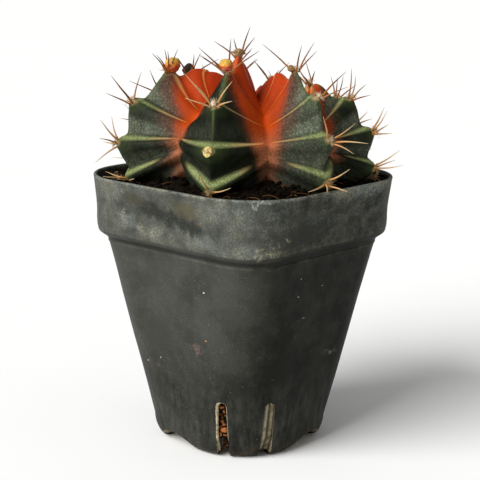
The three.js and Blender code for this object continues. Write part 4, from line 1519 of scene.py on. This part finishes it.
def build_soil(material):
    inside = [shrunk(level, WALL + GAP) for level in wall_levels()]
    floor = shrunk({"z": FLOOR_TOP + GAP, **BASE}, WALL + 2 * GAP)
    border = soil_border()
    levels = [floor] + [level for level in inside if level["z"] < border["z"] - 1] + [border]
    rings = [even_ring(level) for level in levels]
    edge = rings[-1]
    for ring in range(SOIL_RINGS):
        inner = edge * [1, 1, 0] * (SOIL_INSET - ring / (SOIL_RINGS + 1))
        lumps = sum(row["height"] * rough(inner, row["size"], row["seed"]) for row in SOIL_LUMPS)
        inner[:, 2] = soil_height(inner[:, 0], inner[:, 1]) + lumps
        rings.append(inner)
    points, faces = loft(rings, rings[0].mean(axis=0), rings[-1].mean(axis=0))
    mesh = mesh_of("soil_fill", points, faces)
    hole = skin_shape(*skin_grid(HOLE_COLUMNS, HOLE_ROWS_PER_STEP), growth=GAP)
    mesh = cut(mesh, [mesh_of("cutter", *hole)], sharp_angle=60)
    places = np.array([vertex.co for vertex in mesh.vertices]) / MM
    tone = 0.5 + 0.5 * rough(places, 2.2, seed=6)
    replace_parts(piece("soil_fill", mesh, material, "soil", tone=tone), "soil")


def plant_reach(z):
    """The cactus's outline at a height, as compass turns and distances from its axis."""
    turns = []
    reaches = []
    for index in range(len(RIBS)):
        for across in np.linspace(-1, 0.9, 20):
            points = skin_point(index, across, np.linspace(0, 3, 61)) - AXIS
            reach = np.hypot(points[:, 0], points[:, 1])
            first = np.argmax(points[:, 2] >= z)
            turns.append(math.degrees(math.atan2(points[first, 1], points[first, 0])) % 360)
            reaches.append(reach[first])
    order = np.argsort(turns)
    return np.array(turns)[order], np.array(reaches)[order]


def free_spots(count, margin):
    """Random spots on the soil between the plant and the wall."""
    turns, reaches = plant_reach(SOIL["heap"])
    border = soil_border()
    spots = []
    while len(spots) < count:
        x, y = random.uniform(-border["half"], border["half"], 2)
        angle = math.atan2(y, x)
        limit = outline_reach(abs(math.cos(angle)), abs(math.sin(angle)), border) - margin
        from_axis = math.degrees(math.atan2(y - AXIS[1], x - AXIS[0])) % 360
        plant = np.interp(from_axis, turns, reaches, period=360) - SOIL["under_plant"]
        if math.hypot(x, y) < limit and math.hypot(x - AXIS[0], y - AXIS[1]) > plant:
            spots.append((x, y))
    return spots


def build_crumbs(material):
    """Loose bits that lie on the soil and lean against each other."""
    heap = Heap("tone")
    unit, faces = ball(2)
    for x, y in free_spots(CRUMBS["count"], margin=CRUMBS["sizes"][1]):
        size = lerp(*CRUMBS["sizes"], random.uniform() ** 2)
        z = soil_height(x, y) + random.uniform(*CRUMBS["lifts"]) * size
        tone = lerp(*CRUMBS["tones"], random.uniform() ** 2)
        heap.add(lump(unit, size) + [x, y, z], faces, tone=tone)
    heap.finish("soil_crumbs", material, "soil")


def thread(x, y, z, lengths, lift):
    """A bent thread that lies flat about a place, with its middle lifted."""
    length = random.uniform(*lengths)
    heading = random.uniform(0, 2 * math.pi)
    share = np.linspace(-0.5, 0.5, THREAD["points"])
    angle = heading + random.normal(0, THREAD["bend"]) * share
    height = z + lift * np.cos(3 * share) * random.uniform(0, 1)
    path = np.column_stack([x + length * share * np.cos(angle), y + length * share * np.sin(angle), height])
    return tube(path, np.full(len(path), random.uniform(*THREAD["radii"])), THREAD["sides"])


def build_fibres(material):
    """Fine roots and coir threads on the soil."""
    heap = Heap("tone")
    for x, y in free_spots(FIBRES["count"], FIBRES["margin"]):
        strip = thread(x, y, soil_height(x, y) + 0.3, FIBRES["lengths"], FIBRES["lift"])
        heap.add(*strip, tone=random.uniform(*FIBRES["tones"]))
    heap.finish("soil_fibres", material, "soil")


def build_dry_bits(material):
    """Dry bits and threads gathered where two corners of the pot hold them."""
    heap = Heap("tone")
    unit, faces = ball(2)
    for corner in DRY_BITS:
        turn = math.radians(corner["turn"])
        out = np.array([math.cos(turn), math.sin(turn)])
        aside = np.array([-out[1], out[0]])
        for number in range(corner["count"]):
            shift = random.normal(0, DRY["spread"], 2) * corner["reach"]
            depth = corner["distance"] - abs(shift[0]) * DRY["inward"]
            x, y = out * depth + aside * shift[1]
            z = soil_height(x, y) + random.uniform(*DRY["heights"])
            tone = random.uniform(*corner["tones"])
            if number % 3:
                heap.add(lump(unit, random.uniform(*DRY["sizes"])) + [x, y, z], faces, tone=tone)
            else:
                heap.add(*thread(x, y, z, DRY["lengths"], DRY["lift"]), tone=tone)
    heap.finish("dry_bits", material, "soil")


# Stage

def aim_camera():
    turn = math.radians(CAMERA["away"])
    down = math.radians(CAMERA["down"])
    roll = math.radians(CAMERA["roll"])
    ahead = Vector((math.cos(turn) * math.cos(down), math.sin(turn) * math.cos(down), -math.sin(down)))
    level_right = Vector((math.sin(turn), -math.cos(turn), 0))
    level_up = level_right.cross(ahead)
    right = level_right * math.cos(roll) + level_up * math.sin(roll)
    up = right.cross(ahead)
    place = Vector((-math.cos(turn), -math.sin(turn), 0)) * CAMERA["distance"]
    place += Vector((0, 0, CAMERA["height"])) - level_right * CAMERA["left"]
    data = bpy.data.cameras.new("camera")
    data.sensor_width = CAMERA["sensor"]
    data.lens = CAMERA["lens"]
    data.clip_start = 0.01
    camera = bpy.data.objects.new("camera", data)
    camera.matrix_world = Matrix((
        (right.x, up.x, -ahead.x, place.x * MM),
        (right.y, up.y, -ahead.y, place.y * MM),
        (right.z, up.z, -ahead.z, place.z * MM),
        (0, 0, 0, 1),
    ))
    bpy.context.scene.collection.objects.link(camera)
    bpy.context.scene.camera = camera


def add_sun(name, turn, elevation, spread, power):
    """A soft sun at a compass turn and height, both in degrees."""
    data = bpy.data.lights.new(name, "SUN")
    data.energy = power
    data.angle = math.radians(spread)
    lamp = bpy.data.objects.new(name, data)
    turn = math.radians(turn)
    height = math.radians(elevation)
    back = Vector((math.cos(turn) * math.cos(height), math.sin(turn) * math.cos(height), math.sin(height)))
    lamp.rotation_euler = back.to_track_quat("Z", "Y").to_euler()
    bpy.context.scene.collection.objects.link(lamp)


def build_stage():
    shader = Shader("floor", 0.9, specular=0.1)
    base = shader.mix(shader.noise(60, detail=2), colour(244, 244, 243), colour(248, 248, 247))
    floor = bpy.data.meshes.new("floor")
    reach = 8
    corners = [(-reach, -reach, 0), (reach, -reach, 0), (reach, reach, 0), (-reach, reach, 0)]
    floor.from_pydata(corners, [], [(0, 1, 2, 3)])
    floor.materials.append(shader.finish(base))
    made = bpy.data.objects.new("floor", floor)
    bpy.context.scene.collection.objects.link(made)
    world = bpy.data.worlds.new("world")
    world.use_nodes = True
    world.node_tree.nodes["Background"].inputs["Color"].default_value = (1, 1, 1, 1)
    world.node_tree.nodes["Background"].inputs["Strength"].default_value = AMBIENT
    bpy.context.scene.world = world
    bpy.context.scene.view_settings.view_transform = "Standard"
    add_sun("key", **KEY_LIGHT)


def main():
    aim_camera()
    build_stage()
    build_pot(pot_plastic())
    build_specks(speck_material())
    build_bark(earth_material("bark"))
    build_slot_crust(earth_material("slot_crust"))
    build_slot_dirt(earth_material("slot_dirt"))
    build_skin(skin_material())
    build_spines(spine_material())
    build_wool(wool_material())
    build_buds(bud_material())
    build_dried_bud(fibrous_material("dried_bud"))
    build_bare_areole(fibrous_material("bare_areole"))
    peat_with_painted_shade = earth_material("peat_with_painted_shade")
    build_soil(peat_with_painted_shade)
    build_crumbs(peat_with_painted_shade)
    build_fibres(earth_material("coir"))
    build_dry_bits(earth_material("dry_bits"))


main()
